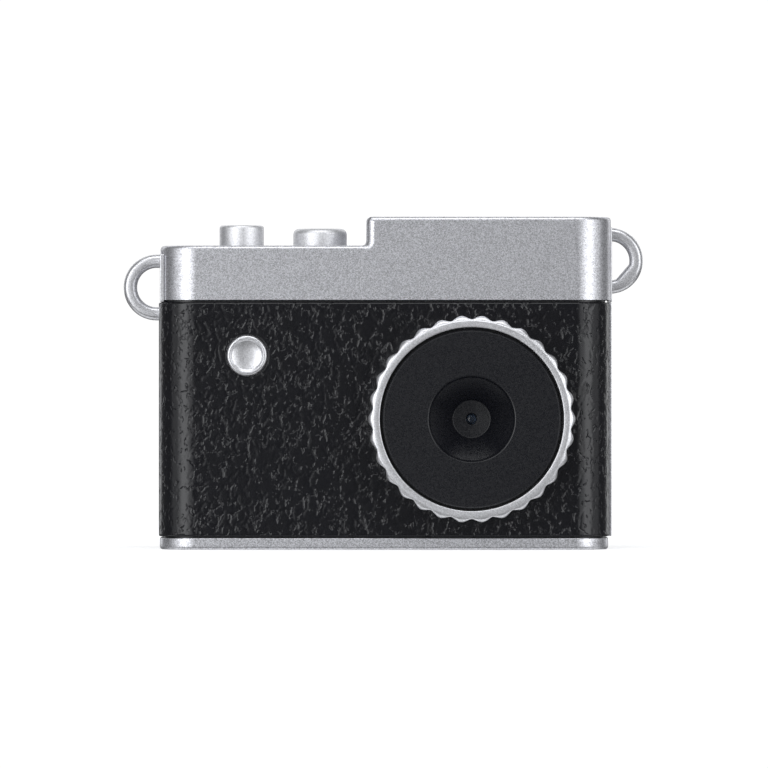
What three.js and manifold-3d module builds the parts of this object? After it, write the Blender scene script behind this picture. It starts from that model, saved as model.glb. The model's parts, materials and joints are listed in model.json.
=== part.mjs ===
// A miniature classic-style camera, about 54 mm wide over its strap lugs, as an assembly of
// separate pieces. Millimetres, +Z up, the lens looks along -Y, +X is the lens side.
// The origin is under the middle of the whole object, on the surface that it stands on.
import * as THREE from 'three';
import { mergeVertices } from 'three/addons/utils/BufferGeometryUtils.js';
import Module from 'manifold-3d';

const wasm = await Module();
wasm.setup();

// ---------------------------------------------------------------- driving dimensions
const BODY_WIDTH = 47.0;
const BODY_DEPTH = 15.0;
const RING_PROUD = 3.8; // the lens ring in front of the body
const CORNER_RADIUS = 3.8; // upright corners of the body
const WALL = 1.1;
const BODY_FRONT = -(BODY_DEPTH + RING_PROUD) / 2;
const FRONT_FACE = BODY_FRONT + RING_PROUD;
const BACK_FACE = FRONT_FACE + BODY_DEPTH;
const MIDDLE_Y = (FRONT_FACE + BACK_FACE) / 2;

const PLATE_TOP = 1.2; // bottom plate
const PANEL_BOTTOM = 1.35; // black panels
const PANEL_TOP = 25.75;
const COVER_BOTTOM = 26.0; // silver top cover
const DECK = 31.65; // low deck with the two buttons
const RAISED_DECK = 34.65;
const STEP_X = -1.85;

const FRAME_BAND = 4.0; // the silver band between the two black panels
const FRAME_FRONT = MIDDLE_Y - FRAME_BAND / 2;
const FRAME_BACK = MIDDLE_Y + FRAME_BAND / 2;
const FRAME_LEFT = -BODY_WIDTH / 2 - 0.05; // the band's outer faces
const FRAME_RIGHT = BODY_WIDTH / 2 + 0.3;
const FRAME_WALL = 1.6;
const SEAM = 0.15; // gap between neighbouring shells

const BOARD_FRONT = -0.2;
const BOARD_BACK = 0.6;
const BOARD_TOP = 27.4;
const MOUNT_GAP = 0.05; // under a part that sits on the board

const LENS_X = 9.1;
const LENS_Z = 13.6;
const LENS_BOARD = BOARD_FRONT - FRONT_FACE; // from the front face back to the board
const RING_LOBES = 30;
const RING_TIP_RADIUS = 10.72;
const RING_LOBE_HEIGHT = 0.55;
const BEZEL_RADIUS = 9.2;

const SHUTTER_X = -14.9;
const MODE_X = -6.7;
const BUTTON_Y = 1.6;
const FRONT_BUTTON_X = -14.25;
const FRONT_BUTTON_Z = 20.2;

const LUG_X = BODY_WIDTH / 2 + 0.08;
const LEFT_LUG_Z = 27.35;
const RIGHT_LUG_Z = 30.15;
const LUG_RADIUS = 3.45;
const LUG_HOLE_RADIUS = 2.05;
const LUG_THICKNESS = 1.8;

const DISPLAY_X = 2.5;
const DISPLAY_Z = 13.6;
const CARD_Z = 15.7;
const CARD_WIDTH = 11.0;
const CARD_LENGTH = 15.0;
const CARD_FRONT = 1.5;
const CARD_BACK = 2.2;
const USB_Z = 12.7;

// ---------------------------------------------------------------- solids
const ROUND = 36; // sides of a plain cylinder

function solid(geometry) {
  const bare = geometry.index ? geometry.toNonIndexed() : geometry.clone();
  bare.deleteAttribute('normal');
  bare.deleteAttribute('uv');
  const merged = mergeVertices(bare, 1e-4);
  return new wasm.Manifold(new wasm.Mesh({
    numProp: 3,
    vertProperties: new Float32Array(merged.attributes.position.array),
    triVerts: new Uint32Array(merged.index.array),
  }));
}

function geometryOf(body) {
  const { vertProperties, triVerts, numProp } = body.getMesh();
  const points = new Float32Array((vertProperties.length / numProp) * 3);
  for (let i = 0; i < points.length / 3; i += 1) {
    points.set(vertProperties.subarray(i * numProp, i * numProp + 3), i * 3);
  }
  const made = new THREE.BufferGeometry();
  made.setAttribute('position', new THREE.BufferAttribute(points, 3));
  made.setIndex(new THREE.BufferAttribute(new Uint32Array(triVerts), 1));
  const flat = made.toNonIndexed();
  flat.computeVertexNormals();
  return flat;
}

function block([x0, x1], [y0, y1], [z0, z1]) {
  const made = new THREE.BoxGeometry(x1 - x0, y1 - y0, z1 - z0);
  made.translate((x0 + x1) / 2, (y0 + y1) / 2, (z0 + z1) / 2);
  return solid(made);
}

// A round bar along +Z from z0 to z1.
function bar(radius, [z0, z1], [x, y] = [0, 0], sides = ROUND) {
  const made = new THREE.CylinderGeometry(radius, radius, z1 - z0, sides);
  made.rotateX(Math.PI / 2);
  made.translate(x, y, (z0 + z1) / 2);
  return solid(made);
}

// A round bar along +Y from y0 to y1.
function barAlongY(radius, [y0, y1], [x, z], sides = ROUND) {
  const made = new THREE.CylinderGeometry(radius, radius, y1 - y0, sides);
  made.translate(x, (y0 + y1) / 2, z);
  return solid(made);
}

// A solid of revolution about +Z from a closed profile of [radius, z] points.
function turned(profile, sides = ROUND) {
  const points = [...profile, profile[0]].map(([r, z]) => new THREE.Vector2(r, z));
  const made = new THREE.LatheGeometry(points, sides);
  made.rotateX(Math.PI / 2);
  const body = solid(made);
  if (body.volume() > 0) return body;
  const reversed = new THREE.LatheGeometry(points.reverse(), sides);
  reversed.rotateX(Math.PI / 2);
  return solid(reversed);
}

function roundedOutline(x0, x1, y0, y1, radius) {
  const outline = new THREE.Shape();
  outline.absarc(x1 - radius, y1 - radius, radius, 0, Math.PI / 2);
  outline.absarc(x0 + radius, y1 - radius, radius, Math.PI / 2, Math.PI);
  outline.absarc(x0 + radius, y0 + radius, radius, Math.PI, 1.5 * Math.PI);
  outline.absarc(x1 - radius, y0 + radius, radius, 1.5 * Math.PI, 2 * Math.PI);
  return outline;
}

// An outline in X and Y made into a slab from z0 to z1.
function slab(outline, [z0, z1], curveSegments = 7) {
  const made = new THREE.ExtrudeGeometry(outline, { depth: z1 - z0, bevelEnabled: false, curveSegments });
  made.translate(0, 0, z0);
  return solid(made);
}

// An outline in X and Z made into a slab from y0 to y1.
function uprightSlab(outline, [y0, y1], curveSegments = 7) {
  const made = new THREE.ExtrudeGeometry(outline, { depth: y1 - y0, bevelEnabled: false, curveSegments });
  made.rotateX(Math.PI / 2);
  made.translate(0, y1, 0);
  return solid(made);
}

// The body's plan, drawn in by inset all round, from z0 to z1.
function bodySlab(inset, heights) {
  const half = BODY_WIDTH / 2 - inset;
  const outline = roundedOutline(-half, half, FRONT_FACE + inset, BACK_FACE - inset, CORNER_RADIUS - inset);
  return slab(outline, heights);
}

// ---------------------------------------------------------------- materials
const finish = (color, roughness, metalness = 0) => new THREE.MeshStandardMaterial({ color, roughness, metalness });
const SILVER = finish(0xb4b5b9, 0.42, 0.6);
const BRIGHT_SILVER = finish(0xcfd1d4, 0.3, 0.7);
const LEATHER_BLACK = finish(0x1d1d21, 0.45);
const MATT_BLACK = finish(0x26272b, 0.6);
const BOARD_GREEN = finish(0x12502e, 0.5);
const CHIP_BLACK = finish(0x16171a, 0.55);
const STEEL = finish(0x9b9ea3, 0.32, 0.9);
const GLASS = finish(0xd8e4ea, 0.05);
const DARK_SCREEN = finish(0x101216, 0.12);
const BATTERY_FOIL = finish(0xa9adb2, 0.35, 0.7);
const FOAM_GREY = finish(0x3a3b3e, 0.95);
const RIBBON_AMBER = finish(0xb46a1e, 0.4);
const WIRE_RED = finish(0xb01818, 0.5);
const BRASS = finish(0xb89246, 0.35, 0.85);
const IR_CYAN = finish(0x7fc9c4, 0.08);

const camera = new THREE.Group();

function add(parent, name, body, material, position = [0, 0, 0]) {
  const mesh = new THREE.Mesh(geometryOf(body), material);
  mesh.name = name;
  mesh.position.set(...position);
  parent.add(mesh);
  return mesh;
}

// ---------------------------------------------------------------- casing
function stepProfile(inset, bottom) {
  const half = BODY_WIDTH / 2 - inset;
  const profile = new THREE.Shape();
  profile.moveTo(-half, bottom);
  profile.lineTo(half, bottom);
  profile.lineTo(half, RAISED_DECK - inset);
  profile.lineTo(STEP_X + inset, RAISED_DECK - inset);
  profile.lineTo(STEP_X + inset, DECK - inset);
  profile.lineTo(-half, DECK - inset);
  profile.closePath();
  return profile;
}

const DEPTH_SPAN = [FRONT_FACE - 1, BACK_FACE + 1];
const TALL = [COVER_BOTTOM, RAISED_DECK + 1];
const TOP_SCREW_X = 18.4;
const TOP_SCREW_Y = 5.4;
const LUG_TENON = 0.9; // half the tenon's height
const LUG_TENON_HALF_DEPTH = 0.7; // along Y, thinner than the lug
const LUG_TENON_DEPTH = 1.35;
const FOOT_FRONT = -3.2; // the lug's flat foot lies in a shallow pocket in the cover's side
const FOOT_REACH = [-0.2, 0.06]; // the foot's thickness, from the lug's root
const LEFT_TENON_RISE = 1.0; // the left lug hangs below the cover, so its tenon sits above its middle

function coverShell() {
  const outside = bodySlab(0, TALL).intersect(uprightSlab(stepProfile(0, COVER_BOTTOM), DEPTH_SPAN));
  const inside = bodySlab(WALL, [COVER_BOTTOM - 1, RAISED_DECK + 1])
    .intersect(uprightSlab(stepProfile(WALL, COVER_BOTTOM - 1), DEPTH_SPAN));
  let cover = outside.subtract(inside);
  for (const side of [-1, 1]) {
    const boss = bar(1.6, [27.0, side < 0 ? DECK - 0.5 : RAISED_DECK - 0.5], [side * TOP_SCREW_X, TOP_SCREW_Y], 24);
    cover = cover.add(boss).subtract(bar(0.75, [26, 30.2], [side * TOP_SCREW_X, TOP_SCREW_Y], 16));
  }
  cover = cover.subtract(bar(2.5, [DECK - 2, DECK + 1], [SHUTTER_X, BUTTON_Y]));
  cover = cover.subtract(bar(2.98, [DECK - 2, DECK + 1], [MODE_X, BUTTON_Y]));
  for (const [side, lugZ] of [[-1, LEFT_LUG_Z], [1, RIGHT_LUG_Z]]) {
    cover = cover.subtract(lugPocket(side, lugZ));
  }
  return cover;
}

// Where a lug's foot lies in the cover's side wall and its tenon goes through.
function lugPocket(side, lugZ) {
  const reach = [side * (BODY_WIDTH / 2 - WALL - 0.6), side * (BODY_WIDTH / 2 + 1)].sort((a, b) => a - b);
  const half = LUG_TENON_HALF_DEPTH + 0.1;
  const upper = lugZ + (side < 0 ? LEFT_TENON_RISE : 0);
  const footBack = MIDDLE_Y + LUG_THICKNESS / 2;
  const footPocket = [side * (LUG_X + FOOT_REACH[0] - SEAM / 3), side * (BODY_WIDTH / 2 + 1)].sort((a, b) => a - b);
  return block(reach, [MIDDLE_Y - half, MIDDLE_Y + half], [upper - LUG_TENON - 0.1, upper + LUG_TENON + 0.1])
    .add(block(footPocket, [FOOT_FRONT - SEAM / 3, footBack + SEAM / 3],
      [COVER_BOTTOM - 1, lugZ + LUG_RADIUS + SEAM / 3]));
}

const COLLAR_HOLE_RADIUS = 8.65;
const FRONT_BUTTON_HOLE = 2.3;

// A black panel: the part of the body's wall in front of, or behind, the silver band.
function panelShell(span) {
  const wall = bodySlab(0, [PANEL_BOTTOM, PANEL_TOP]).subtract(bodySlab(WALL, [0, RAISED_DECK]));
  return wall.intersect(block([-BODY_WIDTH, BODY_WIDTH], span, [0, RAISED_DECK]));
}

function frontPanel() {
  return panelShell([FRONT_FACE - 1, FRAME_FRONT - SEAM])
    .subtract(barAlongY(COLLAR_HOLE_RADIUS, [FRONT_FACE - 1, FRONT_FACE + WALL + 1], [LENS_X, LENS_Z], 64))
    .subtract(barAlongY(FRONT_BUTTON_HOLE, [FRONT_FACE - 1, FRONT_FACE + WALL + 1],
      [FRONT_BUTTON_X, FRONT_BUTTON_Z], 32));
}

const WINDOW_WIDTH = 26.0;
const WINDOW_HEIGHT = 14.2;
const WINDOW_GAP = 0.2;
const LIGHT_PIPE = [-15.2, 23.2];
const BUZZER = [-15.4, 9.6];
const GRILLE_PITCH = 1.5;

function rearPanel() {
  const rearWall = [BACK_FACE - WALL - 1, BACK_FACE + 1];
  const halfWidth = WINDOW_WIDTH / 2 + WINDOW_GAP;
  const halfHeight = WINDOW_HEIGHT / 2 + WINDOW_GAP;
  let panel = panelShell([FRAME_BACK + SEAM, BACK_FACE + 1]);
  panel = panel.subtract(block([DISPLAY_X - halfWidth, DISPLAY_X + halfWidth], rearWall,
    [DISPLAY_Z - halfHeight, DISPLAY_Z + halfHeight]));
  panel = panel.subtract(barAlongY(1.05, rearWall, LIGHT_PIPE, 24));
  panel = panel.subtract(barAlongY(0.4, rearWall, BUZZER, 12));
  for (let i = 0; i < 6; i += 1) {
    const turn = (i * Math.PI) / 3;
    const at = [BUZZER[0] + GRILLE_PITCH * Math.cos(turn), BUZZER[1] + GRILLE_PITCH * Math.sin(turn)];
    panel = panel.subtract(barAlongY(0.4, rearWall, at, 12));
  }
  return panel;
}

const BOTTOM_SCREW_X = 16.5;
const BOARD_SCREW_X = 19.7;
const BOARD_SCREWS = [[-BOARD_SCREW_X, 7.6], [BOARD_SCREW_X, 7.6], [-BOARD_SCREW_X, 23.6], [BOARD_SCREW_X, 23.6]];

// The silver band: an upright hoop with the bosses that carry the board, cover and plate.
function midFrame() {
  const [innerLeft, innerRight] = [FRAME_LEFT + FRAME_WALL, FRAME_RIGHT - FRAME_WALL];
  const band = [FRAME_FRONT, FRAME_BACK];
  const bottomBar = PANEL_BOTTOM + 1.3;
  let frame = block([FRAME_LEFT, FRAME_RIGHT], band, [PANEL_BOTTOM, PANEL_TOP])
    .subtract(block([innerLeft, innerRight], [FRAME_FRONT - 1, FRAME_BACK + 1], [bottomBar, PANEL_TOP + 1]));
  frame = frame.add(block([innerLeft - 0.5, innerRight + 0.5], [2.7, FRAME_BACK], [24.4, PANEL_TOP]));
  for (const side of [-1, 1]) {
    const [x0, x1] = [side * (TOP_SCREW_X - 1.9), side * (TOP_SCREW_X + 1.9)].sort((a, b) => a - b);
    frame = frame.add(block([x0, x1], [3.0, TOP_SCREW_Y + 1.7], [24.4, PANEL_TOP]));
    frame = frame.subtract(bar(0.8, [24, 27], [side * TOP_SCREW_X, TOP_SCREW_Y], 16));
    frame = frame.add(block([side * BOTTOM_SCREW_X - 1.7, side * BOTTOM_SCREW_X + 1.7],
      [MIDDLE_Y - 1.0, FRAME_BACK], [PANEL_BOTTOM + 0.5, 5.2]));
    frame = frame.subtract(bar(0.78, [0, 6], [side * BOTTOM_SCREW_X, MIDDLE_Y + 0.5], 16));
  }
  for (const [x, z] of BOARD_SCREWS) {
    const [x0, x1] = [x < 0 ? innerLeft - 0.4 : x - 1.4, x < 0 ? x + 1.4 : innerRight + 0.4];
    frame = frame.add(block([x0, x1], [BOARD_BACK + MOUNT_GAP, FRAME_BACK], [z - 1.4, z + 1.4]));
    frame = frame.subtract(barAlongY(0.55, [BOARD_BACK - 1, 2.9], [x, z], 16));
  }
  const cardSlot = block([FRAME_LEFT - 1, innerLeft + 1], [CARD_FRONT - 0.3, CARD_BACK + 0.3],
    [CARD_Z - CARD_WIDTH / 2 - 0.3, CARD_Z + CARD_WIDTH / 2 + 0.3]);
  const usbMouth = block([innerRight - 1, FRAME_RIGHT + 1], [0.4, 3.4], [USB_Z - 4.0, USB_Z + 4.0]);
  return frame.subtract(cardSlot).subtract(usbMouth);
}

function bottomPlate() {
  const plate = bodySlab(0.1, [0, PLATE_TOP]);
  const lip = bodySlab(WALL + 0.3, [PLATE_TOP - 0.3, PLATE_TOP + 1.0])
    .subtract(bodySlab(WALL + 1.0, [0, PLATE_TOP + 2]));
  const clearOfFrame = block([-BODY_WIDTH, BODY_WIDTH], [FRAME_FRONT - 0.3, FRAME_BACK + 0.3], [PLATE_TOP, 4]);
  let made = plate.add(lip.subtract(clearOfFrame));
  for (const side of [-1, 1]) {
    const at = [side * BOTTOM_SCREW_X, MIDDLE_Y + 0.5];
    made = made.subtract(bar(0.8, [-1, 3], at, 16)).subtract(bar(1.4, [-1, 0.72], at, 24));
  }
  return made;
}

// A strap lug: a half ring with an upright foot and a tenon that goes into the cover.
function strapLug(side, lugZ) {
  const ring = new THREE.Shape();
  ring.absarc(0, 0, LUG_RADIUS, -Math.PI / 2, Math.PI / 2);
  ring.lineTo(0, LUG_HOLE_RADIUS);
  ring.absarc(0, 0, LUG_HOLE_RADIUS, Math.PI / 2, -Math.PI / 2, true);
  ring.closePath();
  const half = LUG_THICKNESS / 2;
  const loop = uprightSlab(ring, [-half, half], 18);
  const foot = block(FOOT_REACH, [FOOT_FRONT - MIDDLE_Y, half], [COVER_BOTTOM + SEAM - lugZ, LUG_RADIUS]);
  const tenonZ = side < 0 ? LEFT_TENON_RISE : 0;
  const tenon = block([-LUG_TENON_DEPTH, 0.3], [-LUG_TENON_HALF_DEPTH, LUG_TENON_HALF_DEPTH],
    [tenonZ - LUG_TENON, tenonZ + LUG_TENON]);
  const made = loop.add(foot).add(tenon);
  return side < 0 ? made.mirror([1, 0, 0]) : made;
}

add(camera, 'top_cover', coverShell(), SILVER);
add(camera, 'front_panel', frontPanel(), LEATHER_BLACK);
add(camera, 'rear_panel', rearPanel(), LEATHER_BLACK);
add(camera, 'mid_frame', midFrame(), SILVER);
add(camera, 'bottom_plate', bottomPlate(), SILVER);
add(camera, 'left_strap_lug', strapLug(-1, LEFT_LUG_Z), BRIGHT_SILVER, [-LUG_X, MIDDLE_Y, LEFT_LUG_Z]);
add(camera, 'right_strap_lug', strapLug(1, RIGHT_LUG_Z), BRIGHT_SILVER, [LUG_X, MIDDLE_Y, RIGHT_LUG_Z]);

// ---------------------------------------------------------------- screws
// Head at the top, shank down to -length.
function screw(headRadius, headHeight, shankRadius, length) {
  return bar(headRadius, [0, headHeight], [0, 0], 20).add(bar(shankRadius, [-length, headHeight / 2], [0, 0], 14));
}

function addScrew(name, body, position, turn = 0) {
  add(camera, name, body, STEEL, position).rotation.x = turn;
}

for (const [word, side] of [['left', -1], ['right', 1]]) {
  addScrew(`bottom_screw_${word}`, screw(1.25, 0.6, 0.6, 3.4),
    [side * BOTTOM_SCREW_X, MIDDLE_Y + 0.5, 0.66], Math.PI);
  addScrew(`top_screw_${word}`, screw(1.2, 0.6, 0.6, 5.0), [side * TOP_SCREW_X, TOP_SCREW_Y, 24.35], Math.PI);
}
const BOARD_SCREW_PLACES = ['lower_left', 'lower_right', 'upper_left', 'upper_right'];
BOARD_SCREW_PLACES.forEach((word, i) => {
  const [x, z] = BOARD_SCREWS[i];
  addScrew(`board_screw_${word}`, screw(1.0, 0.5, 0.42, 2.6), [x, BOARD_FRONT - MOUNT_GAP, z], Math.PI / 2);
});

// ---------------------------------------------------------------- lens, turned about the lens axis
// In this group +Z points out of the camera and z = 0 is the body's front face.
const lens = new THREE.Group();
lens.position.set(LENS_X, FRONT_FACE, LENS_Z);
lens.rotation.x = Math.PI / 2;
camera.add(lens);

const COLLAR_RADIUS = 8.5;
const RING_BACK = 0.35;
const RING_SHELF = 1.3; // the ring's inner flange ends here, behind the bezel

function knurledRing() {
  const outline = new THREE.Shape();
  const steps = RING_LOBES * 6;
  for (let i = 0; i < steps; i += 1) {
    const turn = (i / steps) * 2 * Math.PI;
    const lobe = Math.pow(Math.abs(Math.cos((turn * RING_LOBES) / 2)), 1.4);
    const radius = RING_TIP_RADIUS - RING_LOBE_HEIGHT * (1 - lobe);
    outline[i ? 'lineTo' : 'moveTo'](radius * Math.cos(turn), radius * Math.sin(turn));
  }
  outline.closePath();
  return slab(outline, [RING_BACK, RING_PROUD])
    .subtract(bar(COLLAR_RADIUS + 0.2, [0, 5], [0, 0], 72))
    .subtract(bar(BEZEL_RADIUS + 0.2, [RING_SHELF, 5], [0, 0], 72));
}

add(lens, 'lens_collar', turned([
  [7.4, -1.9], [9.8, -1.9], [9.8, -1.25], [COLLAR_RADIUS, -1.25], [COLLAR_RADIUS, 1.35], [7.4, 1.35],
], 56), MATT_BLACK);
add(lens, 'ring_friction_washer', turned([[8.8, 0.06], [9.9, 0.06], [9.9, 0.26], [8.8, 0.26]], 48), BRASS);
add(lens, 'lens_ring', knurledRing(), BRIGHT_SILVER);
add(lens, 'lens_bezel', turned([
  [0.5, 0.9], [2.0, 0.9], [4.6, 3.65], [BEZEL_RADIUS - 0.15, 3.65], [BEZEL_RADIUS, 3.5], [BEZEL_RADIUS, 1.5],
  [7.25, 1.5], [7.25, -0.8], [6.3, -0.8], [6.3, 2.6], [5.0, 2.6], [3.4, 0.7], [3.4, 0.3], [0.6, 0.3],
], 56), MATT_BLACK);
add(lens, 'front_lens', turned([
  [0, -0.6], [1.25, -0.5], [1.25, -0.25], [0.8, -0.02], [0.4, 0.1], [0, 0.14],
], 32), GLASS);
add(lens, 'lens_barrel', turned([
  [1.4, -3.6], [2.9, -3.6], [2.9, -1.3], [3.3, -1.3], [3.3, 0.1], [0.95, 0.1], [1.4, -0.15],
], 40), MATT_BLACK);
add(lens, 'aperture_disc', turned([[0.45, -1.2], [1.3, -1.2], [1.3, -1.05], [0.45, -1.05]], 24), CHIP_BLACK);
add(lens, 'rear_lens', turned([
  [0, -3.1], [0.6, -3.05], [1.25, -2.8], [1.25, -2.3], [0.6, -2.15], [0, -2.1],
], 32), GLASS);
const HOLDER_EAR_X = 5.3;
const HOLDER_BASE = -LENS_BOARD + MOUNT_GAP;

function lensHolder() {
  let holder = slab(roundedOutline(-6.6, 6.6, -4.4, 4.4, 1.5), [HOLDER_BASE, -4.15], 4)
    .add(bar(4.0, [-4.3, -1.7], [0, 0], 40))
    .subtract(bar(3.05, [-4.15, 0], [0, 0], 40))
    .subtract(block([-1.7, 1.7], [-1.7, 1.7], [-6, 0]))
    .subtract(block([-2.9, 2.9], [-2.9, 2.9], [-6, -4.35]));
  for (const x of [-HOLDER_EAR_X, HOLDER_EAR_X]) {
    holder = holder.subtract(bar(0.5, [-6, -4.5], [x, 0], 14));
  }
  return holder;
}

add(lens, 'lens_holder', lensHolder(), MATT_BLACK);
add(lens, 'ir_filter', block([-2.1, 2.1], [-2.1, 2.1], [-4.1, -3.8]), IR_CYAN);
add(lens, 'image_sensor', block([-2.5, 2.5], [-2.5, 2.5], [HOLDER_BASE, -4.6]), CHIP_BLACK);
for (const [word, x] of [['left', -HOLDER_EAR_X], ['right', HOLDER_EAR_X]]) {
  const holderScrew = add(lens, `lens_holder_screw_${word}`, screw(0.8, 0.4, 0.38, 1.4), STEEL,
    [x, 0, -LENS_BOARD - (BOARD_BACK - BOARD_FRONT) - MOUNT_GAP]);
  holderScrew.rotation.x = Math.PI;
}

// ---------------------------------------------------------------- buttons and switches
const SWITCH_TOP = 27.35;
const SWITCH_BOTTOM = 25.3;
const PLUNGER_TOP = 28.4;
const PLUNGER_BOTTOM = 26.6;

// A deck button: cap, hidden flange and stem, with z = 0 at the middle of its top face.
function deckButton(radius, top) {
  const flangeTop = DECK - WALL - 0.25 - top;
  return turned([
    [0, PLUNGER_TOP + 0.05 - top], [0.75, PLUNGER_TOP + 0.05 - top], [0.75, flangeTop - 0.6],
    [radius + 0.55, flangeTop - 0.6], [radius + 0.55, flangeTop], [radius, flangeTop],
    [radius, -0.45], [radius - 0.13, -0.13], [radius - 0.45, -0.02], [0, 0],
  ]);
}

// A side-mounted tactile switch on the back of the board, bored for its plunger.
function deckSwitch() {
  return block([-1.9, 1.9], [BOARD_BACK + MOUNT_GAP, 2.6], [SWITCH_BOTTOM, SWITCH_TOP])
    .subtract(bar(0.8, [25.8, 28], [0, BUTTON_Y], 20));
}

for (const [word, x, radius, top] of [['shutter', SHUTTER_X, 2.32, 33.85], ['mode', MODE_X, 2.8, 33.5]]) {
  add(camera, `${word}_button`, deckButton(radius, top), BRIGHT_SILVER, [x, BUTTON_Y, top]);
  add(camera, `${word}_switch`, deckSwitch(), STEEL, [x, 0, 0]);
  add(camera, `${word}_switch_plunger`, bar(0.62, [PLUNGER_BOTTOM, PLUNGER_TOP], [0, 0], 20), CHIP_BLACK,
    [x, BUTTON_Y, 0]);
}

// The front button, turned so that its +Z points out of the camera; z = 0 is the body's front face.
const frontControl = new THREE.Group();
frontControl.position.set(FRONT_BUTTON_X, FRONT_FACE, FRONT_BUTTON_Z);
frontControl.rotation.x = Math.PI / 2;
camera.add(frontControl);
add(frontControl, 'front_button', turned([
  [0, -3.35], [0.8, -3.35], [0.8, -2.0], [2.75, -2.0], [2.75, -1.4], [2.08, -1.4],
  [2.08, 0.45], [1.9, 0.62], [1.7, 0.6], [0.9, 0.4], [0, 0.35],
]), BRIGHT_SILVER);
add(frontControl, 'front_switch', block([-2.0, 2.0], [-2.0, 2.0], [-LENS_BOARD + MOUNT_GAP, -4.1])
  .subtract(bar(0.95, [-5.15, -4], [0, 0], 20)), STEEL);
add(frontControl, 'front_switch_plunger', bar(0.75, [-4.6, -3.4], [0, 0], 20), CHIP_BLACK);

// ---------------------------------------------------------------- circuit board and what is on it
function mainBoard() {
  let board = slab(roundedOutline(-21.3, 21.3, 0, BOARD_TOP - 5.9, 0.8), [0, BOARD_BACK - BOARD_FRONT], 4);
  for (const [x, z] of BOARD_SCREWS) {
    board = board.subtract(bar(0.65, [-1, 2], [x, z - 5.9], 16));
  }
  for (const x of [-HOLDER_EAR_X, HOLDER_EAR_X]) {
    board = board.subtract(bar(0.5, [-1, 2], [LENS_X + x, LENS_Z - 5.9], 14));
  }
  return board;
}

// A part that sits on the back of the board, height thick.
function onBoardBack([x0, x1], [z0, z1], height) {
  const base = BOARD_BACK + MOUNT_GAP;
  return block([x0, x1], [base, base + height], [z0, z1]);
}

add(camera, 'main_board', mainBoard(), BOARD_GREEN, [0, BOARD_BACK, 5.9]).rotation.x = Math.PI / 2;
add(camera, 'image_processor', onBoardBack([-4.2, 2.8], [14.6, 21.6], 0.9), CHIP_BLACK);
add(camera, 'flash_memory', onBoardBack([-4.0, 1.0], [7.4, 13.4], 0.8), CHIP_BLACK);
add(camera, 'clock_crystal', onBoardBack([4.2, 7.4], [17.6, 19.2], 0.7), STEEL);
add(camera, 'power_inductor', onBoardBack([14.2, 17.2], [18.2, 21.2], 1.2), CHIP_BLACK);
add(camera, 'status_led', onBoardBack([-16.0, -14.4], [22.7, 23.7], 0.7), GLASS);
add(camera, 'led_light_pipe', bar(0.85, [1.5, BACK_FACE - 0.05], [0, 0], 24), GLASS,
  [LIGHT_PIPE[0], 0, LIGHT_PIPE[1]]).rotation.x = -Math.PI / 2;
add(camera, 'microphone', barAlongY(1.5, [-1.5, BOARD_FRONT - MOUNT_GAP], [-5.0, 24.6], 24), STEEL);
add(camera, 'buzzer', barAlongY(3.5, [BACK_FACE - WALL - 1.5, BACK_FACE - WALL - 0.15], BUZZER, 32), BRASS);

// ---------------------------------------------------------------- battery
const BATTERY_TOP = 16.4;

// A lead from the cell's top edge to its pad on the board.
function lead(x) {
  const route = new THREE.CatmullRomCurve3([
    [x, -2.0, BATTERY_TOP + 0.05], [x, -2.0, BATTERY_TOP + 0.9], [x + 0.4, -1.8, BATTERY_TOP + 2.2],
    [x + 0.8, -1.2, BATTERY_TOP + 3.2], [x + 1.0, -0.75, BATTERY_TOP + 4.4], [x + 1.0, -0.7, BATTERY_TOP + 5.2],
  ].map((p) => new THREE.Vector3(...p)));
  const section = new THREE.Shape();
  section.absarc(0, 0, 0.35, 0, 2 * Math.PI);
  return solid(new THREE.ExtrudeGeometry(section, { extrudePath: route, steps: 14, curveSegments: 4 }));
}

add(camera, 'battery_cell', slab(roundedOutline(-18.4, 1.6, -3.3, -0.45, 0.8), [4.2, BATTERY_TOP], 4), BATTERY_FOIL);
add(camera, 'battery_foam_pad', block([-17.0, -3.0], [-4.4, -3.4], [5.2, 15.2]), FOAM_GREY);
add(camera, 'battery_lead_positive', lead(-9.4), WIRE_RED);
add(camera, 'battery_lead_negative', lead(-7.6), CHIP_BLACK);

// ---------------------------------------------------------------- display
// The flat ribbon from the display's top edge forward to its connector on the board.
function displayRibbon() {
  const thickness = 0.25;
  const route = new THREE.CatmullRomCurve3([
    [7.0, 20.5], [7.0, 21.4], [6.4, 22.4], [5.2, 22.9], [3.4, 23.1], [2.0, 23.2],
  ].map(([y, z]) => new THREE.Vector3(y, z, 0)));
  const outer = [];
  const inner = [];
  for (let i = 0; i <= 16; i += 1) {
    const p = route.getPoint(i / 16);
    const t = route.getTangent(i / 16);
    outer.push(new THREE.Vector2(p.x - (t.y * thickness) / 2, p.y + (t.x * thickness) / 2));
    inner.unshift(new THREE.Vector2(p.x + (t.y * thickness) / 2, p.y - (t.x * thickness) / 2));
  }
  const strip = new THREE.ExtrudeGeometry(new THREE.Shape([...outer, ...inner]), { depth: 8, bevelEnabled: false });
  // The outline's first coordinate is Y and its second is Z, so the sheet is turned onto X.
  strip.applyMatrix4(new THREE.Matrix4().set(0, 0, 1, 0, 1, 0, 0, 0, 0, 1, 0, 0, 0, 0, 0, 1));
  return solid(strip);
}

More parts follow.
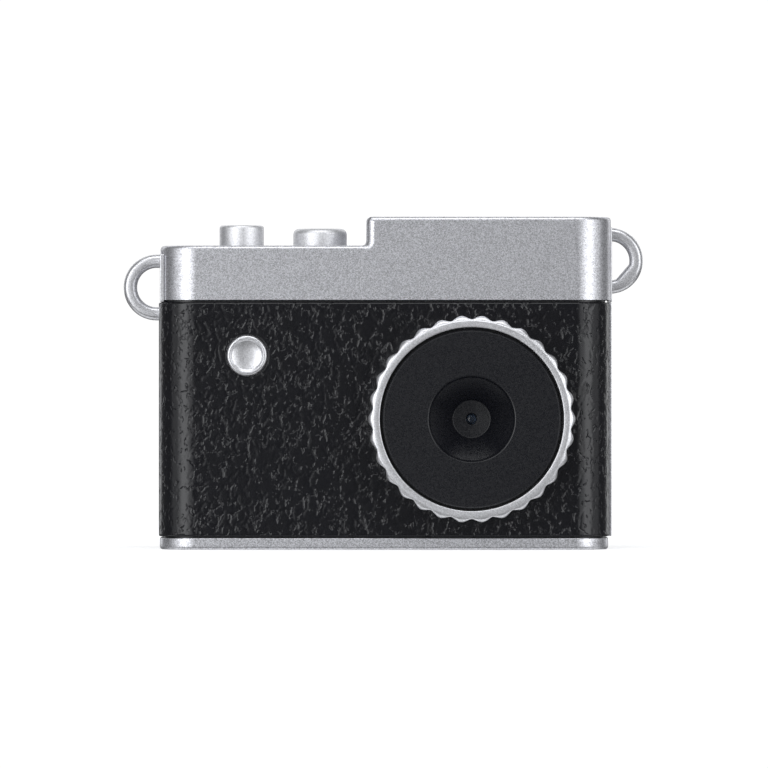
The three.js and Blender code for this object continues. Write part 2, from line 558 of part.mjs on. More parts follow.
add(camera, 'display_window', slab(roundedOutline(-WINDOW_WIDTH / 2, WINDOW_WIDTH / 2,
  -WINDOW_HEIGHT / 2, WINDOW_HEIGHT / 2, 0.9), [0, 0.9], 5), DARK_SCREEN,
[DISPLAY_X, BACK_FACE - 0.1, DISPLAY_Z]).rotation.x = Math.PI / 2;
add(camera, 'display_module', block([DISPLAY_X - 14, DISPLAY_X + 14], [6.4, 7.95],
  [DISPLAY_Z - 6.75, DISPLAY_Z + 6.75]), DARK_SCREEN);
add(camera, 'display_foam_pad', block([DISPLAY_X - 12, DISPLAY_X + 12], [5.2, 6.2],
  [DISPLAY_Z - 5.5, DISPLAY_Z + 5.5]), FOAM_GREY);
add(camera, 'display_ribbon', displayRibbon(), RIBBON_AMBER, [5.4, 0, 0]);
add(camera, 'ribbon_connector', onBoardBack([4.9, 13.9], [22.2, 24.0], 1.25), CHIP_BLACK);

// ---------------------------------------------------------------- memory card and USB port
const SOCKET_BACK = 2.55;
const SOCKET_LEFT = -21.2;
const SOCKET_RIGHT = -6.6;
const CARD_LEFT = FRAME_LEFT;

function cardSocket() {
  const half = CARD_WIDTH / 2;
  return block([SOCKET_LEFT, SOCKET_RIGHT], [BOARD_BACK + MOUNT_GAP, SOCKET_BACK], [CARD_Z - half - 0.9, CARD_Z + half + 0.9])
    .subtract(block([SOCKET_LEFT - 1, SOCKET_RIGHT - 1.3], [CARD_FRONT - 0.15, CARD_BACK + 0.12],
      [CARD_Z - half - 0.2, CARD_Z + half + 0.2]));
}

// The card's outline in X and Z: a plain rear, and a front narrower on one side behind a notch.
function memoryCard() {
  const half = CARD_WIDTH / 2;
  const outline = new THREE.Shape([
    [0, -half], [CARD_LENGTH, -half], [CARD_LENGTH, half - 1.3], [CARD_LENGTH - 6.4, half - 1.3],
    [CARD_LENGTH - 7.6, half], [CARD_LENGTH - 9.0, half], [CARD_LENGTH - 9.0, half - 0.5],
    [CARD_LENGTH - 9.6, half - 0.5], [CARD_LENGTH - 9.9, half], [0, half],
  ].map(([x, z]) => new THREE.Vector2(x, z)));
  return uprightSlab(outline, [CARD_FRONT, CARD_BACK]);
}

const USB_LEFT = 17.9;
const USB_RIGHT = BODY_WIDTH / 2 + 0.1;
const USB_FRONT = BOARD_BACK + MOUNT_GAP;
const USB_BACK = USB_FRONT + 2.5;
const USB_SHEET = 0.25;

// The port's outline in Y and Z: a slot with two chamfered corners on the board's far side.
function usbSlab(inset, [x0, x1]) {
  const [half, chamfer] = [3.7 - inset, 1.1];
  const [front, back] = [USB_FRONT + inset, USB_BACK - inset];
  const outline = new THREE.Shape([
    [front, -half], [front, half], [back - chamfer, half], [back, half - chamfer],
    [back, -half + chamfer], [back - chamfer, -half],
  ].map(([y, z]) => new THREE.Vector2(y, z)));
  const made = new THREE.ExtrudeGeometry(outline, { depth: x1 - x0, bevelEnabled: false });
  made.applyMatrix4(new THREE.Matrix4().set(0, 0, 1, x0, 1, 0, 0, 0, 0, 1, 0, 0, 0, 0, 0, 1));
  return solid(made);
}

add(camera, 'card_socket', cardSocket(), STEEL);
add(camera, 'memory_card', memoryCard(), CHIP_BLACK, [CARD_LEFT + 0.05, 0, CARD_Z]);
add(camera, 'usb_shell', usbSlab(0, [USB_LEFT, USB_RIGHT])
  .subtract(usbSlab(USB_SHEET, [USB_LEFT + 0.8, USB_RIGHT + 1])), STEEL, [0, 0, USB_Z]);
add(camera, 'usb_tongue', block([USB_LEFT + 0.85, USB_RIGHT - 0.7], [1.15, 1.75], [-2.0, 2.0]), CHIP_BLACK,
  [0, 0, USB_Z]);

export default camera;
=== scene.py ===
"""Dresses the miniature camera: smooth outer shells, grained panels, knurled ring, lens, buttons and lugs.

Every size is in millimetres until Skin.build turns it into metres. Each sub-assembly is a class with its
sizes as fields, a build method that makes its pieces and a dress method that gives them their finishes.
"""
from __future__ import annotations

import json
import logging
import math
from dataclasses import dataclass, field
from enum import Enum
from typing import Any, Sequence

import bmesh
import bpy
import numpy as np
from mathutils import Matrix, Vector
from mathutils.geometry import delaunay_2d_cdt
from numpy.typing import NDArray

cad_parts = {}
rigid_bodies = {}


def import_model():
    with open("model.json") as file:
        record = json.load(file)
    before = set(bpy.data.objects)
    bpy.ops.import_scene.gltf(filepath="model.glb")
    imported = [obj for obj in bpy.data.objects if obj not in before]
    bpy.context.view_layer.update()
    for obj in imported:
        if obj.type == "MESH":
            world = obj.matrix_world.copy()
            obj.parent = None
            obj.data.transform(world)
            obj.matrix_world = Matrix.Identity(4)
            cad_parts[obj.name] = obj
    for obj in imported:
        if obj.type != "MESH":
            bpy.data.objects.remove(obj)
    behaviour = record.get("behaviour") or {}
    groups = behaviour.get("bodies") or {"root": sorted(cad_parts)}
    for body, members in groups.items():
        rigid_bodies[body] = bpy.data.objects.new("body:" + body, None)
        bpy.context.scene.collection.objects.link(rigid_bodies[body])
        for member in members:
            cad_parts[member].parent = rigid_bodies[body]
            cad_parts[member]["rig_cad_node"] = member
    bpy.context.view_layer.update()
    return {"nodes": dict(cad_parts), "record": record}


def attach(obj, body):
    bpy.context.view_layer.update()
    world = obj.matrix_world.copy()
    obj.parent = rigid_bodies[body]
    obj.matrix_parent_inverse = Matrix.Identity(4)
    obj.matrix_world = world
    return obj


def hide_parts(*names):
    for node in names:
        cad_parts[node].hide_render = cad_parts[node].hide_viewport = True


Array = NDArray[np.float64]
Indices = NDArray[np.int64]
Outline = tuple[Array, Array]
Piece = bpy.types.Object
Place = Sequence[float]
Triple = tuple[float, float, float]
Pair = tuple[float, float]
Rows = tuple[tuple[Any, ...], ...]
LOG = logging.getLogger("camera")

MM = 0.001
TINY = 1e-9  # anything smaller counts as nothing
CLOSE = 1e-6  # millimetres; places nearer than this are the same
WELD = 1.5e-7  # metres; points closer than this are one point
CAD_WELD = 1e-6  # metres; the same for the points of a CAD node
SHARP = 32.0  # degrees; an edge that turns more than this stays crisp
OVERCUT = 1.0  # how far a cutter reaches past what it cuts
NOISE_SIDE = 97  # random values along each side of the smooth noise's table
CELL_SIDE = 89  # random points along each side of the cell pattern's table
SQUARE_TO_ROUND = 0.886  # half the side of a square over the radius of a circle of its area
CAMERA_BODY = "camera_body"

# ---------------------------------------------------------------- shared sizes of the case, in millimetres
HALF_WIDTH = 23.5
FRONT = -5.6
BACK = 9.4
MIDDLE = (FRONT + BACK) / 2
CORNER = 3.8
STRAIGHT = HALF_WIDTH - CORNER
CORNER_ARC = CORNER * math.pi / 2
WALL = 1.1
COVER_BOTTOM = 26.0
DECK = 31.65
DECK_BUTTONS_Y = 1.6
LENS_AT = (9.1, FRONT, 13.6)
FRONT_BUTTON_AT = (-14.25, FRONT, 20.2)
WINDOW_AT = (2.5, 13.6)
LIGHT_PIPE_AT = (-15.2, 23.2)
BUZZER_AT = (-15.4, 9.6)


class Facing(Enum):
    """Which way a piece's own height points: its across, upward and height directions."""

    UP = ((1, 0, 0), (0, 1, 0), (0, 0, 1))
    FRONT = ((1, 0, 0), (0, 0, 1), (0, -1, 0))
    BACK = ((-1, 0, 0), (0, 0, 1), (0, 1, 0))
    RIGHT = ((0, 1, 0), (0, 0, 1), (1, 0, 0))

    def place(self, local: Array, origin: Place) -> Array:
        """Turns own coordinates into the object's: origin plus each coordinate times its direction."""
        return np.asarray(origin, float) + local @ np.array(self.value, float)


# ---------------------------------------------------------------- curves and noise
def unit(v: Array) -> Array:
    """The vectors divided by their lengths."""
    return v / np.linalg.norm(v, axis=-1, keepdims=True)


def eased(t: Array) -> Array:
    """Smooth step from 0 to 1: t clipped to 0..1, then 3t^2 - 2t^3."""
    t = np.clip(t, 0.0, 1.0)
    return t * t * (3 - 2 * t)


def filleted(corners: Sequence[Place], closed: bool = True, fineness: int = 6) -> Outline:
    """A polyline with round corners.

    A corner at p with radius r and turn a starts r tan(a / 2) before p. Its points are centre + r n, where
    the normal n swings from one side's right-hand normal to the other's.

    Args:
        corners: rows of x, y and radius.
        closed: whether the last corner joins the first.
        fineness: segments in a quarter turn.

    Returns:
        The points and their right-hand normals, outward on an anticlockwise outline.
    """
    table = np.asarray(corners, float)
    places, radii = table[:, :2], table[:, 2]
    points, normals = [], []
    for i, (place, radius) in enumerate(zip(places, radii)):
        arriving = leaving = np.zeros(2)
        if closed or i > 0:
            arriving = unit(place - places[i - 1])
        if closed or i < len(places) - 1:
            leaving = unit(places[(i + 1) % len(places)] - place)
        arriving, leaving = (
            arriving if arriving.any() else leaving, leaving if leaving.any() else arriving
        )
        turn = math.atan2(arriving[0] * leaving[1] - arriving[1] * leaving[0], float(arriving @ leaving))
        steps = 0 if abs(turn) < TINY else max(1, math.ceil(fineness * abs(turn) / (math.pi / 2)))
        angles = math.atan2(-arriving[0], arriving[1]) + np.linspace(0.0, turn, steps + 1)
        fan = np.stack([np.cos(angles), np.sin(angles)], axis=1)
        side = math.copysign(1.0, turn)
        centre = place - arriving * radius * math.tan(abs(turn) / 2) - side * radius * fan[0]
        points.append(centre + side * radius * fan)
        normals.append(fan)
    return np.concatenate(points), np.concatenate(normals)


def rounded_box(x0: float, x1: float, y0: float, y1: float, radius: float, fineness: int = 6) -> Outline:
    """An anticlockwise rectangle with round corners, as points and outward normals."""
    return filleted([(x0, y0, radius), (x1, y0, radius), (x1, y1, radius), (x0, y1, radius)], True, fineness)


def edge_levels(low: float, high: float, low_round: float, high_round: float, steps: int = 4) -> Array:
    """Inset and height up a slab's side: a quarter arc of each radius at the bottom and the top."""
    turn = np.linspace(0.0, math.pi / 2, steps + 1)
    bottom = np.stack([low_round * (1 - np.sin(turn)), low + low_round * (1 - np.cos(turn))], axis=1)
    top = np.stack([high_round * (1 - np.cos(turn)), high - high_round * (1 - np.sin(turn))], axis=1)
    return np.concatenate([bottom, top])


def lattice_noise(u: Array, v: Array, cell: float, seed: int) -> Array:
    """Smooth noise from -1 to 1: lattice values blended across each cell by 6t^5 - 15t^4 + 10t^3."""
    table = np.random.default_rng(seed).uniform(-1.0, 1.0, (NOISE_SIDE, NOISE_SIDE))
    i, j = np.floor(u / cell), np.floor(v / cell)
    fu, fv = u / cell - i, v / cell - j
    fu, fv = fu**3 * (fu * (6 * fu - 15) + 10), fv**3 * (fv * (6 * fv - 15) + 10)
    i, j = i.astype(int) % NOISE_SIDE, j.astype(int) % NOISE_SIDE
    i1, j1 = (i + 1) % NOISE_SIDE, (j + 1) % NOISE_SIDE
    low = table[i, j] * (1 - fu) + table[i1, j] * fu
    high = table[i, j1] * (1 - fu) + table[i1, j1] * fu
    return low * (1 - fv) + high * fv


def border_distance(u: Array, v: Array, cell: float, seed: int) -> Array:
    """Distance from the nearest border between random cells.

    One seed point sits in each square of a lattice. With nearest point p and next nearest q, the border is
    their bisector, at (|x - q|^2 - |x - p|^2) / (2 |p - q|).
    """
    jitter = np.random.default_rng(seed).uniform(0.04, 0.96, (CELL_SIDE, CELL_SIDE, 2))
    i, j = np.floor(u / cell).astype(int), np.floor(v / cell).astype(int)
    first, second = np.full(u.shape, np.inf), np.full(u.shape, np.inf)
    first_at, second_at = np.zeros(u.shape + (2,)), np.zeros(u.shape + (2,))
    for di in range(-2, 3):
        for dj in range(-2, 3):
            shaken = jitter[(i + di) % CELL_SIDE, (j + dj) % CELL_SIDE]
            at = (np.stack([i + di, j + dj], axis=-1) + shaken) * cell
            far = (at[..., 0] - u) ** 2 + (at[..., 1] - v) ** 2
            nearer, middling = far < first, (far >= first) & (far < second)
            second_at = np.where(nearer[..., None], first_at, np.where(middling[..., None], at, second_at))
            second = np.where(nearer, first, np.where(middling, far, second))
            first_at = np.where(nearer[..., None], at, first_at)
            first = np.where(nearer, far, first)
    return (second - first) / (2 * np.linalg.norm(second_at - first_at, axis=-1))


# ---------------------------------------------------------------- meshes
def squares(index: Indices) -> Indices:
    """The quads between rows and columns of point numbers."""
    corners = [index[:-1, :-1], index[:-1, 1:], index[1:, 1:], index[1:, :-1]]
    return np.stack(corners, axis=-1).reshape(-1, 4)


class Skin:
    """Patches of closed skins, in millimetres, gathered and then welded into one mesh object."""

    def __init__(self) -> None:
        """Starts with no points and no faces."""
        self.points: list[Array] = []
        self.faces: list[Indices] = []
        self.count = 0

    def take(self, points: Array) -> Indices:
        """Adds points, and returns their numbers in the same shape."""
        flat = points.reshape(-1, 3)
        index = self.count + np.arange(len(flat)).reshape(points.shape[:-1])
        self.points.append(flat)
        self.count += len(flat)
        return index

    def grid(self, points: Array, wrap: bool = False) -> None:
        """Adds a sheet of quads over rows and columns of points; wrap joins the last column to the first."""
        index = self.take(points)
        if wrap:
            index = np.concatenate([index, index[:, :1]], axis=1)
        self.faces.append(squares(index))

    def polygon(self, points: Array) -> None:
        """Adds one flat face."""
        self.faces.append(self.take(points)[None])

    def turn(
        self, profile: Array, facing: Facing, origin: Place, sides: int = 96, closed: bool = False
    ) -> None:
        """Adds a surface of revolution from rows of radius and height; closed joins the profile's ends."""
        if closed:
            profile = np.concatenate([profile, profile[:1]])
        angle = np.linspace(0, 2 * math.pi, sides, endpoint=False)
        radius, height = profile[:, 0, None], profile[:, 1, None]
        ring = np.stack([radius * np.cos(angle), radius * np.sin(angle), height + 0 * angle], axis=-1)
        self.grid(facing.place(ring, origin), wrap=True)

    def slab(
        self, outline: Outline, levels: Array, facing: Facing = Facing.UP, origin: Place = (0, 0, 0)
    ) -> None:
        """Adds an outline carried up through levels of inset and height, with a flat face at each end."""
        points, normals = outline
        rings = points[None] - levels[:, 0, None, None] * normals[None]
        height = np.broadcast_to(levels[:, 1, None, None], rings.shape[:2] + (1,))
        placed = facing.place(np.concatenate([rings, height], axis=-1), origin)
        self.grid(placed, wrap=True)
        self.polygon(placed[0])
        self.polygon(placed[-1])

    def build(self, name: str, sharp: float = SHARP, smooth: bool = True) -> Piece:
        """Welds the patches, points every face outwards and makes the object.

        Args:
            name: the piece's name.
            sharp: the edge angle in degrees from which an edge stays crisp.
            smooth: whether flat faces keep flat shading beside their rounded edges.

        Returns:
            The new object, with its place in its mesh.
        """
        mesh = bpy.data.meshes.new(name)
        faces = [face for block in self.faces for face in block.tolist()]
        mesh.from_pydata(np.concatenate(self.points) * MM, [], faces)
        obj = linked(name, mesh)
        tidy_mesh(obj, sharp)
        if smooth:
            steady_shading(obj)
        return obj


def linked(name: str, data: Any) -> Piece:
    """A new object of the data, linked into the scene."""
    obj = bpy.data.objects.new(name, data)
    bpy.context.scene.collection.objects.link(obj)
    return obj


def mark_edges(mesh: bpy.types.Mesh, sharp: float = SHARP) -> None:
    """Shades a mesh smooth, but for edges sharper than the angle in degrees."""
    mesh.shade_smooth()
    mesh.set_sharp_from_angle(angle=math.radians(sharp))


def tidy_mesh(obj: Piece, sharp: float = SHARP) -> None:
    """Welds the mesh, turns its faces outwards, and marks edges sharper than the angle in degrees."""
    work = bmesh.new()
    work.from_mesh(obj.data)
    bmesh.ops.remove_doubles(work, verts=work.verts, dist=WELD)
    bmesh.ops.recalc_face_normals(work, faces=work.faces)
    work.to_mesh(obj.data)
    work.free()
    mark_edges(obj.data, sharp)


def steady_shading(obj: Piece) -> None:
    """Weights normals by face area, so flat faces shade flat up to their rounded edges."""
    weighted = obj.modifiers.new("steady_shading", "WEIGHTED_NORMAL")
    weighted.keep_sharp = True
    weighted.weight = 80


def combine(obj: Piece, others: Sequence[Piece], operation: str) -> Piece:
    """Cuts the other solids out of obj, or joins them to it, and removes them."""
    for modifier in list(obj.modifiers):
        obj.modifiers.remove(modifier)
    for i, other in enumerate(others):
        boolean = obj.modifiers.new(f"{operation.lower()}_{i}", "BOOLEAN")
        boolean.operation = operation
        boolean.solver = "EXACT"
        boolean.object = other
    graph = bpy.context.evaluated_depsgraph_get()
    made = bpy.data.meshes.new_from_object(obj.evaluated_get(graph))
    obj.modifiers.clear()
    obj.data = made
    for other in others:
        bpy.data.objects.remove(other)
    tidy_mesh(obj)
    steady_shading(obj)
    return obj


def turned(
    name: str, corners: Sequence[Place], facing: Facing, origin: Place, fineness: int = 9, sides: int = 96,
    closed: bool = False, sharp: float = SHARP,
) -> Piece:
    """A solid turned from a profile with round corners, given as rows of radius, height and rounding."""
    skin = Skin()
    skin.turn(filleted(corners, closed, fineness)[0], facing, origin, sides, closed)
    return skin.build(name, sharp)


def slab(
    name: str, outline: Outline, levels: Array, facing: Facing = Facing.UP, origin: Place = (0, 0, 0)
) -> Piece:
    """A solid made of one slab."""
    skin = Skin()
    skin.slab(outline, levels, facing, origin)
    return skin.build(name)


def round_bar(radius: float, low: float, high: float, x: float, y: float) -> Piece:
    """A plain upright round solid used as a cutter."""
    skin = Skin()
    profile = np.array([(0, low), (radius, low), (radius, high), (0, high)], float)
    skin.turn(profile, Facing.UP, (x, y, 0), 72)
    return skin.build("cutter")


def block(x: Place, y: Place, z: Place) -> Piece:
    """A plain box used as a cutter."""
    return slab("cutter", rounded_box(*x, *y, 0.0), np.array([(0, z[0]), (0, z[1])], float))


def softened(node: Piece, name: str, width: float, segments: int = 2) -> Piece:
    """A copy of a CAD node with its edges rounded by a bevel of the given width in millimetres."""
    copy = linked(name, node.data.copy())
    copy.data.materials.clear()
    work = bmesh.new()
    work.from_mesh(copy.data)
    bmesh.ops.remove_doubles(work, verts=work.verts, dist=CAD_WELD)
    bmesh.ops.dissolve_limit(work, angle_limit=math.radians(2.0), verts=work.verts, edges=work.edges)
    work.to_mesh(copy.data)
    work.free()
    mark_edges(copy.data)
    bevel = copy.modifiers.new("soft_edges", "BEVEL")
    bevel.width = width * MM
    bevel.segments = segments
    bevel.limit_method = "ANGLE"
    bevel.angle_limit = math.radians(35)
    bevel.use_clamp_overlap = True
    bevel.miter_outer = "MITER_ARC"
    steady_shading(copy)
    return copy


# ---------------------------------------------------------------- finishes
class Graph:
    """The nodes of one material: a Principled shader fed from Object coordinates."""

    def __init__(self, name: str) -> None:
        """Starts the material with its shader, output and coordinates."""
        self.material = bpy.data.materials.new(name)
        self.material.use_nodes = True
        self.tree = self.material.node_tree
        self.tree.nodes.clear()
        self.shader = self.tree.nodes.new("ShaderNodeBsdfPrincipled")
        output = self.tree.nodes.new("ShaderNodeOutputMaterial")
        self.tree.links.new(self.shader.outputs[0], output.inputs["Surface"])
        self.where = self.tree.nodes.new("ShaderNodeTexCoord").outputs["Object"]

    def set(self, **values: Any) -> None:
        """Sets the shader's own sockets; an underscore in a name stands for a space."""
        for name, value in values.items():
            socket = self.shader.inputs[name.replace("_", " ")]
            socket.default_value = (*value, 1.0) if isinstance(value, tuple) and len(value) == 3 else value

    def link(self, output: Any, socket: str) -> None:
        """Feeds an output into one of the shader's sockets."""
        self.tree.links.new(output, self.shader.inputs[socket])

    def node(self, kind: str, inputs: dict[Any, Any] | None = None, **settings: Any) -> Any:
        """Adds a node, sets its properties and feeds or sets its inputs."""
        made = self.tree.nodes.new(kind)
        for name, value in settings.items():
            setattr(made, name, value)
        for name, value in (inputs or {}).items():
            if isinstance(value, bpy.types.NodeSocket):
                self.tree.links.new(value, made.inputs[name])
            else:
                made.inputs[name].default_value = value
        return made

    def stretched(self, scale: Triple, where: Any = None) -> Any:
        """Object coordinates scaled unevenly, for brushed or drawn-out patterns."""
        return self.node("ShaderNodeMapping", {"Vector": where or self.where, "Scale": scale}).outputs[0]

    def noise(self, period: float, detail: float = 2.0, rough: float = 0.5, where: Any = None) -> Any:
        """Smooth noise from 0 to 1 whose features are about period millimetres across."""
        inputs = {
            "Vector": where or self.where, "Scale": 1 / (period * MM), "Detail": detail, "Roughness": rough,
        }
        return self.node("ShaderNodeTexNoise", inputs).outputs["Fac"]

    def cells(self, period: float, output: str = "Distance", feature: str = "F1", where: Any = None) -> Any:
        """A cellular pattern whose cells are about period millimetres across."""
        inputs = {"Vector": where or self.where, "Scale": 1 / (period * MM)}
        return self.node("ShaderNodeTexVoronoi", inputs, feature=feature).outputs[output]

    def spread(self, value: Any, low: float, high: float, source: Pair = (0.0, 1.0)) -> Any:
        """Carries a value from the source range on to low..high."""
        inputs = {"Value": value, "From Min": source[0], "From Max": source[1], "To Min": low, "To Max": high}
        return self.node("ShaderNodeMapRange", inputs).outputs[0]

    def blend(self, factor: Any, low: Triple, high: Triple) -> Any:
        """A colour between low and high."""
        made = self.node("ShaderNodeMix", data_type="RGBA")
        self.tree.links.new(factor, made.inputs[0])
        made.inputs[6].default_value, made.inputs[7].default_value = (*low, 1.0), (*high, 1.0)
        return made.outputs[2]

    def bump(self, height: Any, depth: float, strength: float = 1.0, under: Any = None) -> Any:
        """Turns a height into a normal; depth is in millimetres."""
        inputs = {"Height": height, "Distance": depth * MM, "Strength": strength}
        if under is not None:
            inputs["Normal"] = under
        return self.node("ShaderNodeBump", inputs).outputs[0]

    def relief(self, height: Any, depth: float, strength: float = 1.0, under: Any = None) -> None:
        """Gives the surface a bump of the depth in millimetres."""
        self.link(self.bump(height, depth, strength, under), "Normal")

    def maths(self, operation: str, *values: Any) -> Any:
        """One step of arithmetic on numbers or outputs."""
        return self.node("ShaderNodeMath", dict(enumerate(values)), operation=operation).outputs[0]

    def vector(self, operation: str, inputs: dict[int, Any]) -> Any:
        """One step of arithmetic on vectors."""
        return self.node("ShaderNodeVectorMath", inputs, operation=operation).outputs[0]

    def wobbled(self, period: float, amount: float) -> Any:
        """Object coordinates pushed about by noise of up to about amount millimetres, so patterns squirm."""
        inputs = {"Vector": self.where, "Scale": 1 / (period * MM), "Detail": 1.0}
        push = self.node("ShaderNodeTexNoise", inputs).outputs["Color"]
        centred = self.vector("SUBTRACT", {0: push, 1: (0.5, 0.5, 0.5)})
        sized = self.vector("SCALE", {0: centred, 3: 2 * amount * MM})
        return self.vector("ADD", {0: self.where, 1: sized})


@dataclass(frozen=True)
class Finish:
    """A finish: its slot, colour, roughness and own name. Subclasses add the pattern of the real surface."""

    slot: str
    colour: Triple
    roughness: float
    label: str = ""

    def tint(self, graph: Graph, factor: Any, low: float, high: float) -> None:
        """Lets the colour run between two multiples of itself."""
        ends = (tuple(c * k for c in self.colour) for k in (low, high))
        graph.link(graph.blend(factor, *ends), "Base Color")

    def gloss(self, graph: Graph, factor: Any, less: float, more: float) -> None:
        """Lets the roughness run from less below its value to more above it."""
        graph.link(graph.spread(factor, self.roughness - less, self.roughness + more), "Roughness")

    def draw(self, graph: Graph) -> None:
        """Moulded plastic: slight unevenness in colour, gloss and surface."""
        self.tint(graph, graph.noise(2.5, 3.0), 0.88, 1.12)
        self.gloss(graph, graph.noise(0.35, 4.0), 0.06, 0.08)
        graph.relief(graph.noise(0.12, 3.0), 0.004, 0.5)

    def material(self) -> bpy.types.Material:
        """The finish's material, made once."""
        name = f"{self.label or self.slot}_finish"
        if name not in bpy.data.materials:
            graph = Graph(name)
            self.draw(graph)
        return bpy.data.materials[name]

    def apply(self, *pieces: Piece) -> None:
        """Puts the material on each piece."""
        for piece in pieces:
            piece.data.materials.clear()
            piece.data.materials.append(self.material())


@dataclass(frozen=True)
class MetallicPaint(Finish):
    """Silver paint full of fine flakes under a thin clear layer."""

    flake: float = 0.085
    sparkle: float = 0.16
    ripple: float = 0.2

    def draw(self, graph: Graph) -> None:
        """Each flake gets its own brightness and gloss, over a very fine ripple."""
        flake = graph.cells(self.flake, "Color")
        tone = graph.node("ShaderNodeSeparateColor", {"Color": flake}).outputs
        self.tint(graph, tone[0], 1 - self.sparkle, 1 + self.sparkle)
        self.gloss(graph, tone[1], 0.04, 0.06)
        graph.relief(graph.noise(self.flake * 1.3, 2.0, 0.6), 0.0022, self.ripple)
        graph.set(Metallic=0.93, Coat_Weight=0.12, Coat_Roughness=0.18)


@dataclass(frozen=True)
class GrainedPlastic(Finish):
    """Semi-gloss black plastic with a leather grain: hair-fine creases over the deeper ones in the mesh.

    Each row of creases is the size of its cells, the width of a line, how far lines squirm, the size of the
    patches in which they show, and how sparse those patches are.
    """

    creases: Rows = (
        (1.35, 0.080, 0.30, 1.0, 0.55), (0.85, 0.105, 0.18, 0.65, 0.58),
    )
    depth: float = 0.030
    cell_stretch: Triple = (1.0, 1.0, 0.78)
    patch_stretch: Triple = (1.4, 1.0, 0.9)

    def draw(self, graph: Graph) -> None:
        """Squirming creases in two sizes that fade in and out, over fine pores."""
        layers = []
        for period, width, wobble, fade, sparse in self.creases:
            squirming = graph.stretched(self.cell_stretch, graph.wobbled(period * 0.62, wobble))
            edge = graph.cells(period, "Distance", "DISTANCE_TO_EDGE", squirming)
            line = graph.spread(edge, 1.0, 0.0, (0.0, width))
            patches = graph.noise(fade, 1.0, 0.5, graph.stretched(self.patch_stretch))
            shown = graph.spread(patches, 0.0, 1.0, (sparse, sparse + 0.04))
            layers.append(graph.maths("MULTIPLY", line, shown))
        pores = graph.bump(graph.noise(0.09, 2.0, 0.6), 0.0008, 0.3)
        graph.relief(graph.maths("MAXIMUM", *layers), -self.depth, 1.0, pores)
        self.tint(graph, graph.noise(1.2, 3.0), 0.8, 1.25)
        self.gloss(graph, graph.noise(0.45, 4.0), 0.03, 0.05)
        graph.set(Specular_IOR_Level=0.5)


@dataclass(frozen=True)
class SatinPlastic(Finish):
    """Fine matt moulded plastic with a spark-eroded texture."""

    texture: float = 0.09

    def draw(self, graph: Graph) -> None:
        """A close random pebble with a little variation in tone."""
        graph.relief(graph.noise(self.texture, 3.0, 0.65), 0.008, 0.8)
        self.tint(graph, graph.noise(self.texture * 1.7, 2.0, 0.7), 0.72, 1.28)
        fleck = graph.cells(self.texture * 1.4, "Color")
        self.gloss(graph, graph.node("ShaderNodeSeparateColor", {"Color": fleck}).outputs[0], 0.07, 0.07)


@dataclass(frozen=True)
class BareMetal(Finish):
    """Rolled, plated or pressed metal with a fine directional brushing."""

    grain: Triple = (0.08, 1.0, 1.0)

    def draw(self, graph: Graph) -> None:
        """Long thin scratches in roughness and height, over slow staining in colour."""
        scratch = graph.noise(0.06, 4.0, 0.6, graph.stretched(self.grain))
        graph.relief(scratch, 0.003, 0.5)
        self.gloss(graph, scratch, 0.08, 0.12)
        self.tint(graph, graph.noise(1.8, 3.0), 0.85, 1.1)
        graph.set(Metallic=1.0)


@dataclass(frozen=True)
class ClearGlass(Finish):
    """Clear or tinted glass, or clear plastic, with a faint coating."""

    clearness: float = 0.9

    def draw(self, graph: Graph) -> None:
        """Smooth and clear, with a trace of waviness and unevenly tinted coating."""
        graph.relief(graph.noise(1.5, 1.0), 0.001, 0.2)
        self.tint(graph, graph.noise(0.8, 2.0), 0.94, 1.0)
        self.gloss(graph, graph.noise(0.6, 2.0), 0.0, 0.03)
        graph.set(Transmission_Weight=self.clearness, IOR=1.5, Coat_Weight=0.4, Coat_Roughness=0.03)


@dataclass(frozen=True)
class CircuitBoard(Finish):
    """Green solder mask over copper tracks."""

    def draw(self, graph: Graph) -> None:
        """Straight tracks show as lighter raised lines through the mask."""
        tracks = graph.node("ShaderNodeTexBrick", {
            "Vector": graph.stretched((1.0, 1.0, 1.0)), "Scale": 1 / (2.2 * MM), "Mortar Size": 0.05,
            "Mortar Smooth": 0.2, "Brick Width": 1.7, "Row Height": 0.42,
        }, offset=0.37).outputs["Fac"]
        lighter = tuple(min(1.0, c * 2.1 + 0.01) for c in self.colour)
        graph.link(graph.blend(tracks, self.colour, lighter), "Base Color")
        graph.relief(tracks, 0.02, 0.6)
        self.gloss(graph, graph.noise(0.9, 3.0), 0.05, 0.1)


@dataclass(frozen=True)
class Screen(Finish):
    """A glossy dark display behind its clear cover, with a printed border."""

    half: Pair = (10.6, 5.9)
    lit: Triple = (0.030, 0.034, 0.042)
    border_blur: float = 0.03

    def draw(self, graph: Graph) -> None:
        """Inside the border the panel is a touch lighter and bluer."""
        parts = graph.node("ShaderNodeSeparateXYZ", {"Vector": graph.where}).outputs
        sides = []
        for axis, part in ((0, parts[0]), (1, parts[2])):
            away = graph.maths("ABSOLUTE", graph.maths("SUBTRACT", part, WINDOW_AT[axis] * MM))
            edge, blur = self.half[axis] * MM, self.border_blur * MM
            sides.append(graph.spread(away, 1.0, 0.0, (edge - blur, edge + blur)))
        graph.link(graph.blend(graph.maths("MULTIPLY", *sides), self.colour, self.lit), "Base Color")
        self.gloss(graph, graph.noise(4.0, 3.0), 0.0, 0.05)
        graph.relief(graph.noise(3.0, 1.0), 0.002, 0.2)
        graph.set(Coat_Weight=1.0, Coat_Roughness=0.04)


@dataclass(frozen=True)
class Foam(Finish):
    """Open-cell foam."""

    def draw(self, graph: Graph) -> None:
        """Round pits of two sizes."""
        pits = graph.cells(0.35, "Distance")
        fine = graph.bump(graph.cells(0.16, "Distance"), 0.05, 0.5)
        graph.relief(pits, 0.12, 0.9, fine)
        self.tint(graph, graph.spread(pits, 0.0, 1.0, (0.1, 0.7)), 1.3, 0.35)
        graph.set(Roughness=self.roughness)


